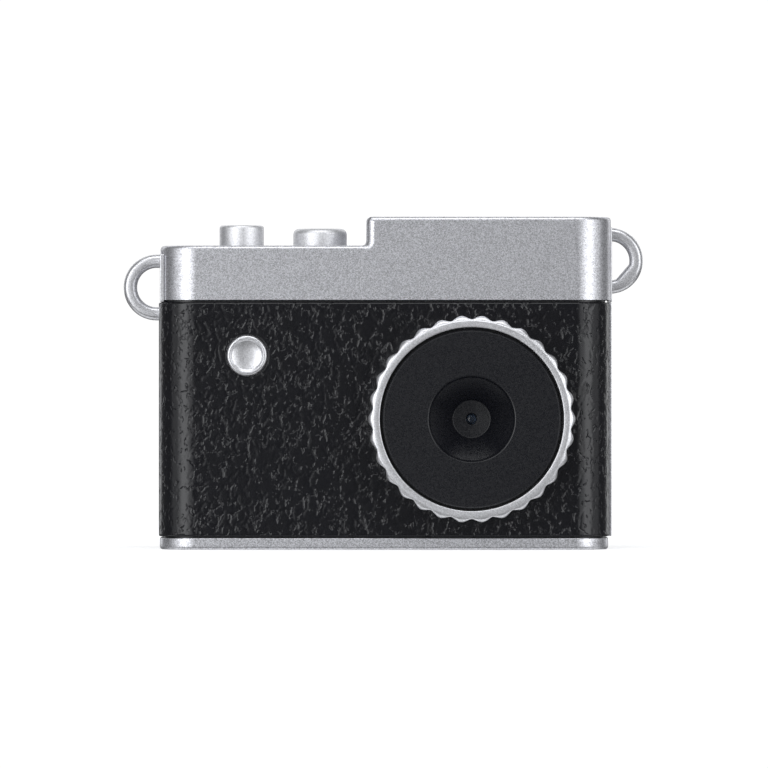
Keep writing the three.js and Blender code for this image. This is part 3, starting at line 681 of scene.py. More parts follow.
SILVER = MetallicPaint("silver_paint", (0.665, 0.667, 0.698), 0.35, sparkle=0.36, ripple=0.45)
BRIGHT = MetallicPaint("bright_silver_paint", (0.74, 0.742, 0.764), 0.36, sparkle=0.18)
CAP = MetallicPaint("bright_silver_paint", (0.80, 0.802, 0.82), 0.48, "button_paint")
GRAIN = GrainedPlastic("black_leather_grain", (0.0028, 0.0029, 0.0045), 0.20)
BLACK = SatinPlastic("matt_black_plastic", (0.0030, 0.0033, 0.0054), 0.29)
FINISHES: dict[str, Finish] = {f.slot: f for f in (
    SILVER, BRIGHT, GRAIN, BLACK,
    BareMetal("screw_steel", (0.42, 0.43, 0.45), 0.30),
    BareMetal("bright_steel", (0.58, 0.59, 0.61), 0.24, grain=(1.0, 1.0, 0.07)),
    BareMetal("brass", (0.60, 0.43, 0.18), 0.30, grain=(1.0, 0.1, 1.0)),
    BareMetal("battery_foil", (0.55, 0.57, 0.60), 0.34, grain=(0.3, 1.0, 1.0)),
    # The lens glass's dark blue tint is partly a coating's own colour and partly painted shade for the dark
    # barrel behind the front lens.
    ClearGlass("lens_glass", (0.10, 0.15, 0.24), 0.02, clearness=0.85),
    ClearGlass("filter_glass", (0.40, 0.78, 0.74), 0.03, clearness=0.8),
    ClearGlass("clear_plastic", (0.90, 0.92, 0.90), 0.16, clearness=0.75),
    Screen("screen_glass", (0.006, 0.0065, 0.008), 0.06),
    CircuitBoard("circuit_board", (0.010, 0.085, 0.035), 0.35),
    SatinPlastic("chip_black", (0.016, 0.016, 0.017), 0.45, texture=0.12),
    Foam("foam", (0.045, 0.045, 0.048), 0.9),
    Finish("amber_ribbon", (0.46, 0.17, 0.025), 0.30),
    Finish("red_wire", (0.42, 0.01, 0.01), 0.40),
    Finish("black_wire", (0.012, 0.012, 0.012), 0.40),
    Finish("card_black", (0.018, 0.018, 0.020), 0.38),
)}


# ---------------------------------------------------------------- sub-assemblies
@dataclass
class SubAssembly:
    """A group of pieces built together. Pieces are shown by name, with the body they ride on.

    Its nodes are the CAD nodes by name.
    """

    nodes: dict[str, Piece]
    pieces: dict[str, Piece] = field(default_factory=dict, init=False)

    def show(self, piece: Piece, body: str, *nodes: str) -> Piece:
        """Attaches a piece to the body it rides on, hides the CAD nodes it stands for, and keeps it by name.
        """
        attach(piece, body)
        if nodes:
            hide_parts(*nodes)
        self.pieces[piece.name] = piece
        return piece

    def finish(self, finish: Finish, *names: str) -> None:
        """Puts one finish on the named pieces."""
        finish.apply(*(self.pieces[name] for name in names))

    def report(self) -> None:
        """Logs each piece with its number of faces."""
        for name, piece in self.pieces.items():
            LOG.info("%s: %s, %d faces", type(self).__name__, name, len(piece.data.polygons))


@dataclass
class TopCover(SubAssembly):
    """The stepped silver cover: a filleted shell with two button holes and a pocket at each side."""

    raised: float = 34.65
    step_x: float = -2.02
    step_rounds: Pair = (0.55, 0.5)
    inner_step_rounds: Pair = (0.3, 0.3)
    edge: float = 0.42
    inner_edge: float = 0.12
    step_edge: float = 0.90
    shift: float = 0.18
    corner_points: int = 21
    holes: Rows = ((-14.9, 2.5), (-6.7, 2.98))
    pockets: Rows = ((-22.94, -3.74, 30.83), (23.40, -2.22, 33.63))
    pocket_rear: float = 2.83

    def edge_loop(self, inset: float) -> tuple[Array, Array, Array, int]:
        """The sharp top edge before rounding, for a shell drawn in by inset.

        It runs clockwise from the right side: round the right front corner, along the front down the step,
        round the left front corner, then the same back along the rear.

        Returns:
            Points, wall normals, deck normals, and the number of points in the front half.
        """
        radius = CORNER - inset
        centre_y = FRONT + CORNER
        step, low, high = self.step_x + inset, DECK - inset, self.raised - inset
        top_round, foot_round = self.step_rounds if inset == 0 else self.inner_step_rounds
        profile, lift = filleted(
            [(STRAIGHT, high, 0), (step, high, top_round), (step, low, foot_round), (-STRAIGHT, low, 0)],
            False, 8,
        )
        count = self.corner_points
        turn = np.linspace(0.0, math.pi / 2, count)
        sine, cosine, one = np.sin(turn), np.cos(turn), 1 + 0 * turn
        right = np.stack([STRAIGHT + radius * cosine, centre_y - radius * sine, high * one], axis=1)
        left = np.stack([-STRAIGHT - radius * sine, centre_y - radius * cosine, low * one], axis=1)
        along = np.stack([profile[:, 0], np.full(len(profile), FRONT + inset), profile[:, 1]], axis=1)
        points = np.concatenate([right, along, left])
        wall = np.concatenate([
            np.stack([cosine, -sine, 0 * turn], axis=1),
            np.tile([0.0, -1.0, 0.0], (len(profile), 1)),
            np.stack([-sine, -cosine, 0 * turn], axis=1),
        ])
        up = np.tile([0.0, 0.0, 1.0], (len(points), 1))
        up[count:-count] = np.stack([lift[:, 0], 0 * lift[:, 0], lift[:, 1]], axis=1)
        rear, rear_wall = points.copy(), wall * [1, -1, 1]
        rear[:, 1] = 2 * MIDDLE - rear[:, 1]
        return (
            np.concatenate([points, rear[::-1]]), np.concatenate([wall, rear_wall[::-1]]),
            np.concatenate([up, up[::-1]]), len(points),
        )

    def add_shell(self, skin: Skin, inset: float, edge: float) -> Array:
        """Adds a shell: rounded top edge, decks and walls. Returns its bottom loop.

        At an edge point E with wall normal a, the rounding of depth r is E + g (1 - sin t) - r a (1 - cos t)
        for t from 0 to a quarter turn, where g leads from E to the flat. It is deeper down the step's edge.
        """
        points, wall, up, half = self.edge_loop(inset)
        deep = edge + (self.step_edge - self.edge) * eased(-up[:, 0])[:, None] * (inset == 0)
        inward = -deep * up
        if inset == 0:
            top_bend = (up[:, 0] < -CLOSE) & (points[:, 2] > self.raised - self.step_rounds[0] - CLOSE)
            corner = np.array([self.step_x + self.step_edge, 0.0, self.raised - edge])
            inward[top_bend] = (corner - points[top_bend]) * [1, 0, 1]
        turn = np.linspace(0.0, math.pi / 2, 9)[:, None, None]
        rounding = points + inward * (1 - np.sin(turn)) - deep * wall * (1 - np.cos(turn))
        skin.grid(rounding, wrap=True)
        skin.grid(np.stack([rounding[-1, :half], rounding[-1, half:][::-1]]))
        bottom = points.copy()
        bottom[:, 2] = COVER_BOTTOM
        whole, count = len(points), self.corner_points
        for end in (half, whole):
            side = np.arange(end - count, end + count) % whole
            skin.grid(np.stack([rounding[0, side], bottom[side]]))
        for start, end in ((0, half), (half, whole)):
            flat = np.arange(start + count - 1, end - count + 1)
            skin.polygon(np.concatenate([rounding[0, flat], bottom[flat][[-1, 0]]]))
        return bottom

    def build(self) -> None:
        """Makes the cover from an outer and an inner shell joined along the rim, then cuts its openings."""
        skin = Skin()
        outer = self.add_shell(skin, 0.0, self.edge)
        inner = self.add_shell(skin, WALL, self.inner_edge)
        skin.grid(np.stack([outer, inner]), wrap=True)
        cover = skin.build("top_cover_shell")
        cover.data.transform(Matrix.Translation((self.shift * MM, 0, 0)))
        cutters = [
            round_bar(radius, DECK - 2 * OVERCUT, DECK + OVERCUT, x, DECK_BUTTONS_Y)
            for x, radius in self.holes
        ]
        for pocket, front, top in self.pockets:
            reach = sorted((pocket, math.copysign(HALF_WIDTH + OVERCUT, pocket)))
            cutters.append(block(reach, (front, self.pocket_rear), (COVER_BOTTOM - OVERCUT, top)))
        combine(cover, cutters, "DIFFERENCE")
        self.show(cover, CAMERA_BODY, "top_cover")

    def dress(self) -> None:
        """Silver paint all over."""
        self.finish(SILVER, "top_cover_shell")


@dataclass(frozen=True)
class Hole:
    """A round hole in a panel: its middle, its radius, and how far out the mesh bends for it."""

    along: float
    up: float
    radius: float
    reach: float


@dataclass
class GrainedPanel(SubAssembly):
    """A black panel that wraps round two corners of the body, with its deeper leather creases in the mesh.

    Each row of pushes is an amount and the size of its noise. Each row of creases is the size of its cells,
    the width and depth of a crease, how much more of it shows, and what is added to the seed.
    """

    name: str = "front_grain_panel"
    node: str = "front_panel"
    rear: bool = False
    bottom: float = 1.35
    top: float = 25.75
    flank: float = 1.55
    pitch: float = 0.11
    edge: float = 0.22
    depth: float = 0.024
    pushes: Rows = ((0.30, 0.95), (0.16, 0.42), (0.08, 0.2))
    creases: Rows = (
        (1.55, 0.115, 1.0, 0.0, 20), (0.95, 0.09, 0.7, -0.30, 40),
    )
    squash: float = 0.76
    fade_cell: float = 0.62
    fade_gain: float = 2.6
    calm: Pair = (0.12, 0.35)
    hole_edge: float = 0.05
    seed: int = 11
    holes: tuple[Hole, ...] = ()
    window: tuple[float, float, float, float] | None = None

    def wrapped(self, along: Array, up: Array, lift: Array) -> Array:
        """Points on the panel: straight across the middle, round each corner, and straight down the sides.

        Beyond half the straight width, the turn is (|s| - straight) / radius up to a quarter turn.
        """
        over = np.maximum(np.abs(along) - STRAIGHT, 0.0)
        turn = np.minimum(over / CORNER, math.pi / 2)
        beyond = np.maximum(over - CORNER_ARC, 0.0)
        side = np.sign(along)
        reach = CORNER + lift
        x = side * (np.minimum(np.abs(along), STRAIGHT) + reach * np.sin(turn))
        y = FRONT + CORNER - reach * np.cos(turn) + beyond
        return np.stack([x, 2 * MIDDLE - y if self.rear else y, up], axis=-1)

    def leather(self, along: Array, up: Array) -> Array:
        """Depth of the creases in millimetres.

        Creases follow the borders of random cells whose coordinates are pushed about by noise, in two sizes.
        Each crease is exp(-(distance / width)^2), and a slow noise lets it fade out along its length.
        """
        u, v = along.copy(), up * self.squash
        for k, (amount, cell) in enumerate(self.pushes):
            u = u + amount * lattice_noise(along, up, cell, self.seed + 2 * k)
            v = v + amount * lattice_noise(along, up, cell, self.seed + 2 * k + 1)
        crease = np.zeros_like(along)
        for cell, width, depth, bias, k in self.creases:
            gap = border_distance(u + 3.1 * k, v, cell, self.seed + k)
            shown = lattice_noise(u, v, self.fade_cell, self.seed + k + 1) + bias
            fade = eased(0.5 + self.fade_gain * shown)
            crease = np.maximum(crease, depth * fade * np.exp(-((gap / width) ** 2)))
        return self.depth * crease

    def spaced(self, low: float, high: float, stops: Place = ()) -> Array:
        """Sample places from low to high: close together round both rounded ends, even between stops."""
        arc = self.edge * (1 - np.cos(np.linspace(0, math.pi / 2, 5)))
        breaks = [low + self.edge, *stops, high - self.edge]
        runs = [
            np.linspace(a, b, max(2, round((b - a) / self.pitch)) + 1)[:-1]
            for a, b in zip(breaks, breaks[1:])
        ]
        return np.concatenate([low + arc[:-1], *runs, (high - arc)[::-1]])

    @staticmethod
    def rounding(gap: Array, radius: float) -> Array:
        """How far the surface drops at a distance from an edge of the radius: r - sqrt(r^2 - (r - gap)^2)."""
        near = np.clip(radius - gap, 0.0, radius)
        return radius - np.sqrt(radius**2 - near**2)

    def opened(self, cols: Array, rows: Array) -> tuple[Array, Array, NDArray[np.bool_]]:
        """Bends the square grid round each hole, and says which points lie in an opening.

        Square rings of the grid round a hole become circles: fully at its edge, fading out to the reach.
        """
        along, up = np.meshgrid(cols, rows)
        gone = np.zeros(along.shape, bool)
        for hole in self.holes:
            i0, j0 = int(np.abs(cols - hole.along).argmin()), int(np.abs(rows - hole.up).argmin())
            ring = np.maximum(*np.broadcast_arrays(
                np.abs(np.arange(len(cols)) - i0)[None], np.abs(np.arange(len(rows)) - j0)[:, None]
            ))
            edge = max(2, round(SQUARE_TO_ROUND * hole.radius / self.pitch))
            reach = round(hole.reach / self.pitch)
            share = eased((reach - ring) / (reach - edge))
            away = np.stack(np.broadcast_arrays(cols[None] - cols[i0], rows[:, None] - rows[j0]), axis=-1)
            away = away / np.maximum(np.linalg.norm(away, axis=-1, keepdims=True), TINY)
            radius = hole.radius + (ring - edge) * self.pitch
            along = along + share * (hole.along + radius * away[..., 0] - along)
            up = up + share * (hole.up + radius * away[..., 1] - up)
            gone |= ring < edge
        if self.window:
            x0, x1, z0, z1 = self.window
            slack = self.pitch / 4
            gone |= (along > x0 + slack) & (along < x1 - slack) & (up > z0 + slack) & (up < z1 - slack)
        return along, up, gone

    def opening_gap(self, along: Array, up: Array) -> Array:
        """Distance to the nearest opening's edge."""
        gap = np.full(along.shape, 9.0)
        for hole in self.holes:
            gap = np.minimum(gap, np.hypot(along - hole.along, up - hole.up) - hole.radius)
        if self.window:
            x0, x1, z0, z1 = self.window
            across = np.maximum(np.abs(along - (x0 + x1) / 2) - (x1 - x0) / 2, 0)
            upward = np.maximum(np.abs(up - (z0 + z1) / 2) - (z1 - z0) / 2, 0)
            gap = np.minimum(gap, np.hypot(across, upward))
        return np.maximum(gap, 0.0)

    def build(self) -> None:
        """Makes the outer skin on the grid, an inner skin of few triangles, and a strip at each edge."""
        reach = STRAIGHT + CORNER_ARC + self.flank
        stops_x, stops_z = (self.window[:2], self.window[2:]) if self.window else ((), ())
        cols, rows = self.spaced(-reach, reach, stops_x), self.spaced(self.bottom, self.top, stops_z)
        along, up, gone = self.opened(cols, rows)
        side_gap, end_gap = reach - np.abs(along), np.minimum(up - self.bottom, self.top - up)
        hole_gap = self.opening_gap(along, up)
        calm_from, calm_over = self.calm
        calm = eased((np.minimum(np.minimum(side_gap, end_gap), hole_gap) - calm_from) / calm_over)
        lift = -self.leather(along, up) * calm - self.rounding(hole_gap, self.hole_edge)
        lift -= self.rounding(side_gap, self.edge)
        lift -= self.rounding(end_gap, self.edge)
        index = np.arange(along.size).reshape(along.shape)
        quads = squares(index)
        open_quads = gone.ravel()[quads].any(axis=1)
        if self.window:
            x0, x1, z0, z1 = self.window
            mid_s, mid_z = along.ravel()[quads].mean(axis=1), up.ravel()[quads].mean(axis=1)
            open_quads |= (mid_s > x0) & (mid_s < x1) & (mid_z > z0) & (mid_z < z1)
        used, quads = np.unique(quads[~open_quads], return_inverse=True)
        quads = quads.reshape(-1, 4)
        flat_s, flat_z = along.ravel()[used], up.ravel()[used]
        skin = Skin()
        first = skin.take(self.wrapped(flat_s, flat_z, lift.ravel()[used]))
        skin.faces.append(first[quads])
        edges = np.concatenate([quads[:, [k, (k + 1) % 4]] for k in range(4)])
        keys, back_keys = edges @ [len(used), 1], edges @ [1, len(used)]
        edges = edges[~np.isin(keys, back_keys)]
        inner = skin.take(self.wrapped(flat_s, flat_z, np.full(len(used), -WALL)))
        start, end = edges.T
        skin.faces.append(np.stack([first[end], first[start], inner[start], inner[end]], axis=1))
        self.add_inner(skin, cols, flat_s, flat_z, edges)
        panel = skin.build(self.name, sharp=48.0, smooth=False)
        self.show(panel, CAMERA_BODY, self.node)

    def add_inner(self, skin: Skin, cols: Array, along: Array, up: Array, edges: Indices) -> None:
        """Adds the inner face: triangles between the edge loops, creased upright at the corners."""
        rim = np.unique(edges)
        number = np.full(len(along), -1)
        number[rim] = np.arange(len(rim))
        bends = [s for s in cols if STRAIGHT <= abs(s) <= STRAIGHT + CORNER_ARC + 0.1][::7]
        lines = []
        for s in bends:
            on_line = rim[np.abs(along[rim] - s) < CLOSE]
            ends = on_line[[up[on_line].argmin(), up[on_line].argmax()]]
            lines.append(tuple(number[ends].tolist()))
        places = [Vector((float(a), float(b))) for a, b in zip(along[rim], up[rim])]
        walls = [tuple(pair) for pair in number[edges].tolist()] + lines
        made = delaunay_2d_cdt(places, walls, [], 1, 1e-7)
        spots, faces = np.array([tuple(place) for place in made[0]]), np.array(made[2])
        middle = spots[faces].mean(axis=1)
        kept = self.opening_gap(middle[:, 0], middle[:, 1]) > CLOSE
        start = skin.take(self.wrapped(spots[:, 0], spots[:, 1], np.full(len(spots), -WALL)))
        skin.faces.append(start[faces[kept]])

    def dress(self) -> None:
        """Black grained plastic all over."""
        self.finish(GRAIN, self.name)


@dataclass
class Casing(SubAssembly):
    """The silver band between the panels, the bottom plate with its screws, and the two strap lugs."""

    plate_top: float = 1.2
    plate_inset: float = 0.1
    screw_x: float = 16.5
    screw_y: float = 2.4
    screw_recess: float = 1.4
    screw_hole: float = 0.8
    seam_insets: Pair = (0.42, 1.0)
    lug_x: Pair = (23.82, 23.66)
    foot_x: Rows = ((22.95, 23.36), (23.41, 23.80))
    foot_front: Pair = (-3.56, -2.2)
    lug_heights: Pair = (27.35, 30.15)
    lug_radius: float = 3.45
    lug_hole: float = 2.05
    lug_half: float = 0.9
    lug_half_band: float = 0.7
    lug_round: float = 0.66
    chord_at: float = math.radians(-41)
    chord_half: float = math.radians(30)
    tenon_rise: Pair = (1.0, 0.0)

    def build(self) -> None:
        """Makes every piece of the casing."""
        band = softened(self.nodes["mid_frame"], "silver_band", 0.16, 3)
        self.show(band, CAMERA_BODY, "mid_frame")
        self.build_plate()
        self.build_seam("cover_seam_ridge", 25.5, 25.985)
        self.build_seam("plate_seam_ridge", 1.21, 1.6)
        for side, word in ((-1, "left"), (1, "right")):
            self.build_lug(side, word)
            self.build_screw(side, word)

    def build_seam(self, name: str, low: float, high: float) -> None:
        """A narrow black ridge right round the case that closes a seam to light."""
        near, deep = self.seam_insets
        rings = []
        for inset, z in ((near, low), (near, high), (deep, high), (deep, low), (near, low)):
            half = HALF_WIDTH - inset
            ring, _ = rounded_box(-half, half, FRONT + inset, BACK - inset, CORNER - inset, 12)
            rings.append(np.column_stack([ring, np.full(len(ring), z)]))
        skin = Skin()
        skin.grid(np.stack(rings), wrap=True)
        self.show(skin.build(name), CAMERA_BODY)

    def build_plate(self) -> None:
        """A plate with a rounded lower edge, a small upper edge, and two screw recesses with their holes."""
        inset = self.plate_inset
        half = HALF_WIDTH - inset
        outline = rounded_box(-half, half, FRONT + inset, BACK - inset, CORNER - inset, 18)
        plate = slab("bottom_plate_cover", outline, edge_levels(0.0, self.plate_top, 0.32, 0.08, 5))
        cutters = []
        for side in (-1, 1):
            for radius, low, high in ((self.screw_recess, -1, 0.72), (self.screw_hole, 0, 2)):
                cutters.append(round_bar(radius, low, high, side * self.screw_x, self.screw_y))
        combine(plate, cutters, "DIFFERENCE")
        self.show(plate, CAMERA_BODY, "bottom_plate")

    def build_screw(self, side: int, word: str) -> None:
        """A pan-head screw with a cross recess, its head down."""
        x, y = side * self.screw_x, self.screw_y
        screw = turned(f"bottom_screw_{word}_part", [
            (0.0, 0.0, 0), (1.25, 0.0, 0.32), (1.25, 0.6, 0.06), (0.6, 0.6, 0.0), (0.6, 3.9, 0.1),
            (0.42, 4.05, 0.0), (0.0, 4.05, 0),
        ], Facing.UP, (x, y, 0.06), 5, 48)
        arms = [block((x - a, x + a), (y - b, y + b), (-0.5, 0.36)) for a, b in ((0.75, 0.16), (0.16, 0.75))]
        combine(screw, arms, "DIFFERENCE")
        self.show(screw, CAMERA_BODY, f"bottom_screw_{word}")

    def build_lug(self, side: int, word: str) -> None:
        """A half-round loop swept round its eye, with a flat foot and a tenon.

        The section is a rectangle with round edges. Its inner edge follows the eye, which has one flat chord
        on the right lug: there the eye's radius is hole cos(half chord) / cos(angle - chord's angle).
        """
        k = (side + 1) // 2
        height, centre_x, (foot_in, foot_out) = self.lug_heights[k], self.lug_x[k], self.foot_x[k]
        angle = np.linspace(-math.pi / 2, math.pi / 2, 61)
        inner = np.full(angle.shape, self.lug_hole)
        if side > 0:
            flat = np.abs(angle - self.chord_at) < self.chord_half
            inner[flat] = self.lug_hole * math.cos(self.chord_half) / np.cos(angle[flat] - self.chord_at)
        section, _ = rounded_box(-1.0, 1.0, -self.lug_half, self.lug_half, self.lug_round, 6)
        sign, across = section[:, 0], section[:, 1]
        band = self.lug_half_band
        reach = np.where(sign > 0, self.lug_radius - band * (1 - sign), inner[:, None] + band * (1 + sign))
        x, z = reach * np.cos(angle)[:, None], reach * np.sin(angle)[:, None]
        rows = np.stack([x, np.broadcast_to(across, x.shape), z], axis=-1)
        root = foot_out - centre_x - 0.05
        ends = [np.stack([np.full_like(across, root), across, rows[end, :, 2]], axis=1) for end in (0, -1)]
        loop = np.concatenate([ends[0][None], rows, ends[1][None]]) + [centre_x, MIDDLE, height]
        loop[..., 0] *= side
        skin = Skin()
        skin.grid(loop, wrap=True)
        skin.polygon(loop[0])
        skin.polygon(loop[-1])
        lug = skin.build(f"{word}_lug_loop")
        rear, top = MIDDLE + self.lug_half, height + self.lug_radius
        foot = slab(
            "foot", rounded_box(self.foot_front[k], rear, COVER_BOTTOM - 0.22, top, 0.15, 4),
            edge_levels(foot_in, foot_out, 0.0, 0.10, 4), Facing.RIGHT,
        )
        if side < 0:
            foot.data.transform(Matrix.Scale(-1, 4, (1, 0, 0)))
            tidy_mesh(foot)
        reach_x = sorted((side * (foot_in - 0.95), side * (foot_in + 0.1)))
        rise = self.tenon_rise[k]
        tenon = block(reach_x, (MIDDLE - 0.7, MIDDLE + 0.7), (height + rise - 0.9, height + rise + 0.9))
        combine(lug, [foot, tenon], "UNION")
        self.show(lug, CAMERA_BODY, f"{word}_strap_lug")

    def dress(self) -> None:
        """Silver paint on the band and plate, brighter on the lugs, and steel screws."""
        self.finish(SILVER, "silver_band", "bottom_plate_cover")
        self.finish(BRIGHT, "left_lug_loop", "right_lug_loop")
        self.finish(BLACK, "cover_seam_ridge", "plate_seam_ridge")
        self.finish(FINISHES["screw_steel"], "bottom_screw_left_part", "bottom_screw_right_part")


@dataclass
class LensGroup(SubAssembly):
    """The knurled ring, the black bezel with its bowl, and the small front lens."""

    lobes: int = 30
    tip: float = 10.75
    lobe_height: float = 0.40
    back: float = 0.35
    front: float = 3.8
    bore: float = 9.54
    land: float = 10.14
    seat: float = 8.7
    edge_round: float = 0.09
    edge_sweep: float = 1.0
    roll_depths: Pair = (0.16, 0.50)

    def build(self) -> None:
        """Makes the three pieces about the lens axis, with height measured forward from the body's front."""
        self.build_ring()
        self.build_bezel()
        lens = turned("front_lens_element", [
            (0, 0.14, 0), (0.45, 0.08, 0.3), (1.25, -0.25, 0.1), (1.25, -0.5, 0.05), (0, -0.6, 0),
        ], Facing.FRONT, LENS_AT, 8, 64)
        self.show(lens, CAMERA_BODY, "front_lens")

    def build_ring(self) -> None:
        """The ring's section carried round, its outer edge rising and falling with the lobes.

        The rim's radius is tip - h (1 - |cos(n t / 2)|^1.6) for n lobes. In front the flat land ends in a
        fine rounded edge, and from there each lobe rolls over to the rim on a quarter ellipse.
        """
        angle = np.linspace(0, 2 * math.pi, self.lobes * 18, endpoint=False)
        lobe = np.abs(np.cos(angle * self.lobes / 2)) ** 1.6
        rim = self.tip - self.lobe_height * (1 - lobe)
        roll = np.linspace(0, math.pi / 2, 9)[:, None]
        sweep = np.linspace(0, self.edge_sweep, 4)[:-1, None]
        edge_r = self.land + self.edge_round * np.sin(sweep)
        edge_h = self.front - self.edge_round * (1 - np.cos(sweep))
        start_r = self.land + self.edge_round * math.sin(self.edge_sweep)
        start_h = self.front - self.edge_round * (1 - math.cos(self.edge_sweep))
        low, extra = self.roll_depths
        front_r = start_r + (rim - start_r) * np.sin(roll)
        front_h = start_h - (low + extra * lobe) * (1 - np.cos(roll))
        back_r = self.land + (rim - self.land) * np.cos(roll)
        back_h = self.back + 0.3 * (1 - np.sin(roll))
        floor = self.back + 0.02
        inner, _ = filleted([
            (self.seat, floor, 0), (self.seat, 1.3, 0.1), (self.bore, 1.3, 0.0), (self.bore, self.front, 0.1),
            (self.land, self.front, 0),
        ], False, 5)
        under = np.array([(self.land, self.back), (self.seat, floor)])
        parts = (
            (inner[:, :1], inner[:, 1:]), (edge_r, edge_h), (front_r, front_h), (back_r, back_h),
            (under[:, :1], under[:, 1:]),
        )
        radius, height = (np.concatenate([part[k] + 0 * angle for part in parts]) for k in (0, 1))
        local = np.stack([radius * np.cos(angle), radius * np.sin(angle), height], axis=-1)
        skin = Skin()
        skin.grid(Facing.FRONT.place(local, LENS_AT), wrap=True)
        self.show(skin.build("knurled_ring", 50.0), "grip_ring", "lens_ring")

    def build_bezel(self) -> None:
        """A turned disc with a fine lip round its bowl, a flat floor, a hole for the lens, and a black skirt
        behind its rim.
        """
        # The black skirt, from radius 9.26 to 9.5 and 1.5 to 1.9 forward, covers the ring's silver flange in
        # the gap to its bore: a dark sheet as painted shade in that gap.
        dish = turned("lens_bezel_dish", [
            (0.5, 0.3, 0), (0.5, 0.66, 0.0), (0.62, 0.9, 0.06), (1.95, 0.9, 0.10), (2.2, 1.25, 0.2),
            (4.36, 3.30, 0.6), (4.47, 3.62, 0.08), (4.58, 3.65, 0.05), (9.09, 3.65, 0.05), (9.26, 3.50, 0.05),
            (9.26, 1.9, 0), (9.5, 1.9, 0), (9.5, 1.5, 0), (7.25, 1.5, 0), (7.25, -0.8, 0), (6.3, -0.8, 0),
            (6.3, 2.6, 0), (5.0, 2.6, 0), (3.4, 0.7, 0), (3.4, 0.3, 0),
        ], Facing.FRONT, LENS_AT, 8, 144, closed=True, sharp=40.0)
        self.show(dish, CAMERA_BODY, "lens_bezel")

    def dress(self) -> None:
        """Bright silver ring, matt black bezel, and coated glass whose dark tint is partly painted shade."""
        self.finish(BRIGHT, "knurled_ring")
        self.finish(BLACK, "lens_bezel_dish")
        self.finish(FINISHES["lens_glass"], "front_lens_element")


@dataclass
class Controls(SubAssembly):
    """The two deck buttons and the dished front button.

    Each row of deck buttons is its control's name, its place across, radius, top and edge rounding.
    """

    stem_low: float = 28.45
    flange_top: float = 30.3
    deck_buttons: Rows = (
        ("shutter", -14.9, 2.32, 33.85, 0.30), ("mode", -6.7, 2.80, 33.5, 0.62),
    )

    def build_deck_button(self, word: str, x: float, radius: float, top: float, edge: float) -> None:
        """A turned cap with a rounded top edge, a hidden flange and a stem."""
        flange, under = self.flange_top, self.flange_top - 0.6
        cap = turned(f"{word}_button_cap", [
            (0, self.stem_low, 0), (0.75, self.stem_low, 0.08), (0.75, under, 0.1),
            (radius + 0.55, under, 0.05), (radius + 0.55, flange, 0.05), (radius, flange, 0.0),
            (radius, top - 0.02, edge),
            (radius * 0.5, top, 0.5), (0, top - 0.03, 0),
        ], Facing.UP, (x, DECK_BUTTONS_Y, 0))
        self.show(cap, f"{word}_control", f"{word}_button")

    def build(self) -> None:
        """Makes the three buttons."""
        for row in self.deck_buttons:
            self.build_deck_button(*row)
        dished = turned("front_button_cap", [
            (0, -3.35, 0), (0.8, -3.35, 0.1), (0.8, -2.0, 0.0), (2.75, -2.0, 0.05), (2.75, -1.4, 0.05),
            (2.08, -1.4, 0.0), (2.08, 0.62, 0.24), (1.72, 0.60, 0.09), (1.55, 0.42, 0.5), (0.9, 0.24, 2.4),
            (0, 0.20, 0),
        ], Facing.FRONT, FRONT_BUTTON_AT)
        self.show(dished, "front_control", "front_button")

    def dress(self) -> None:
        """Bright silver paint on all three."""
        self.finish(CAP, "shutter_button_cap", "mode_button_cap")
        self.finish(BRIGHT, "front_button_cap")


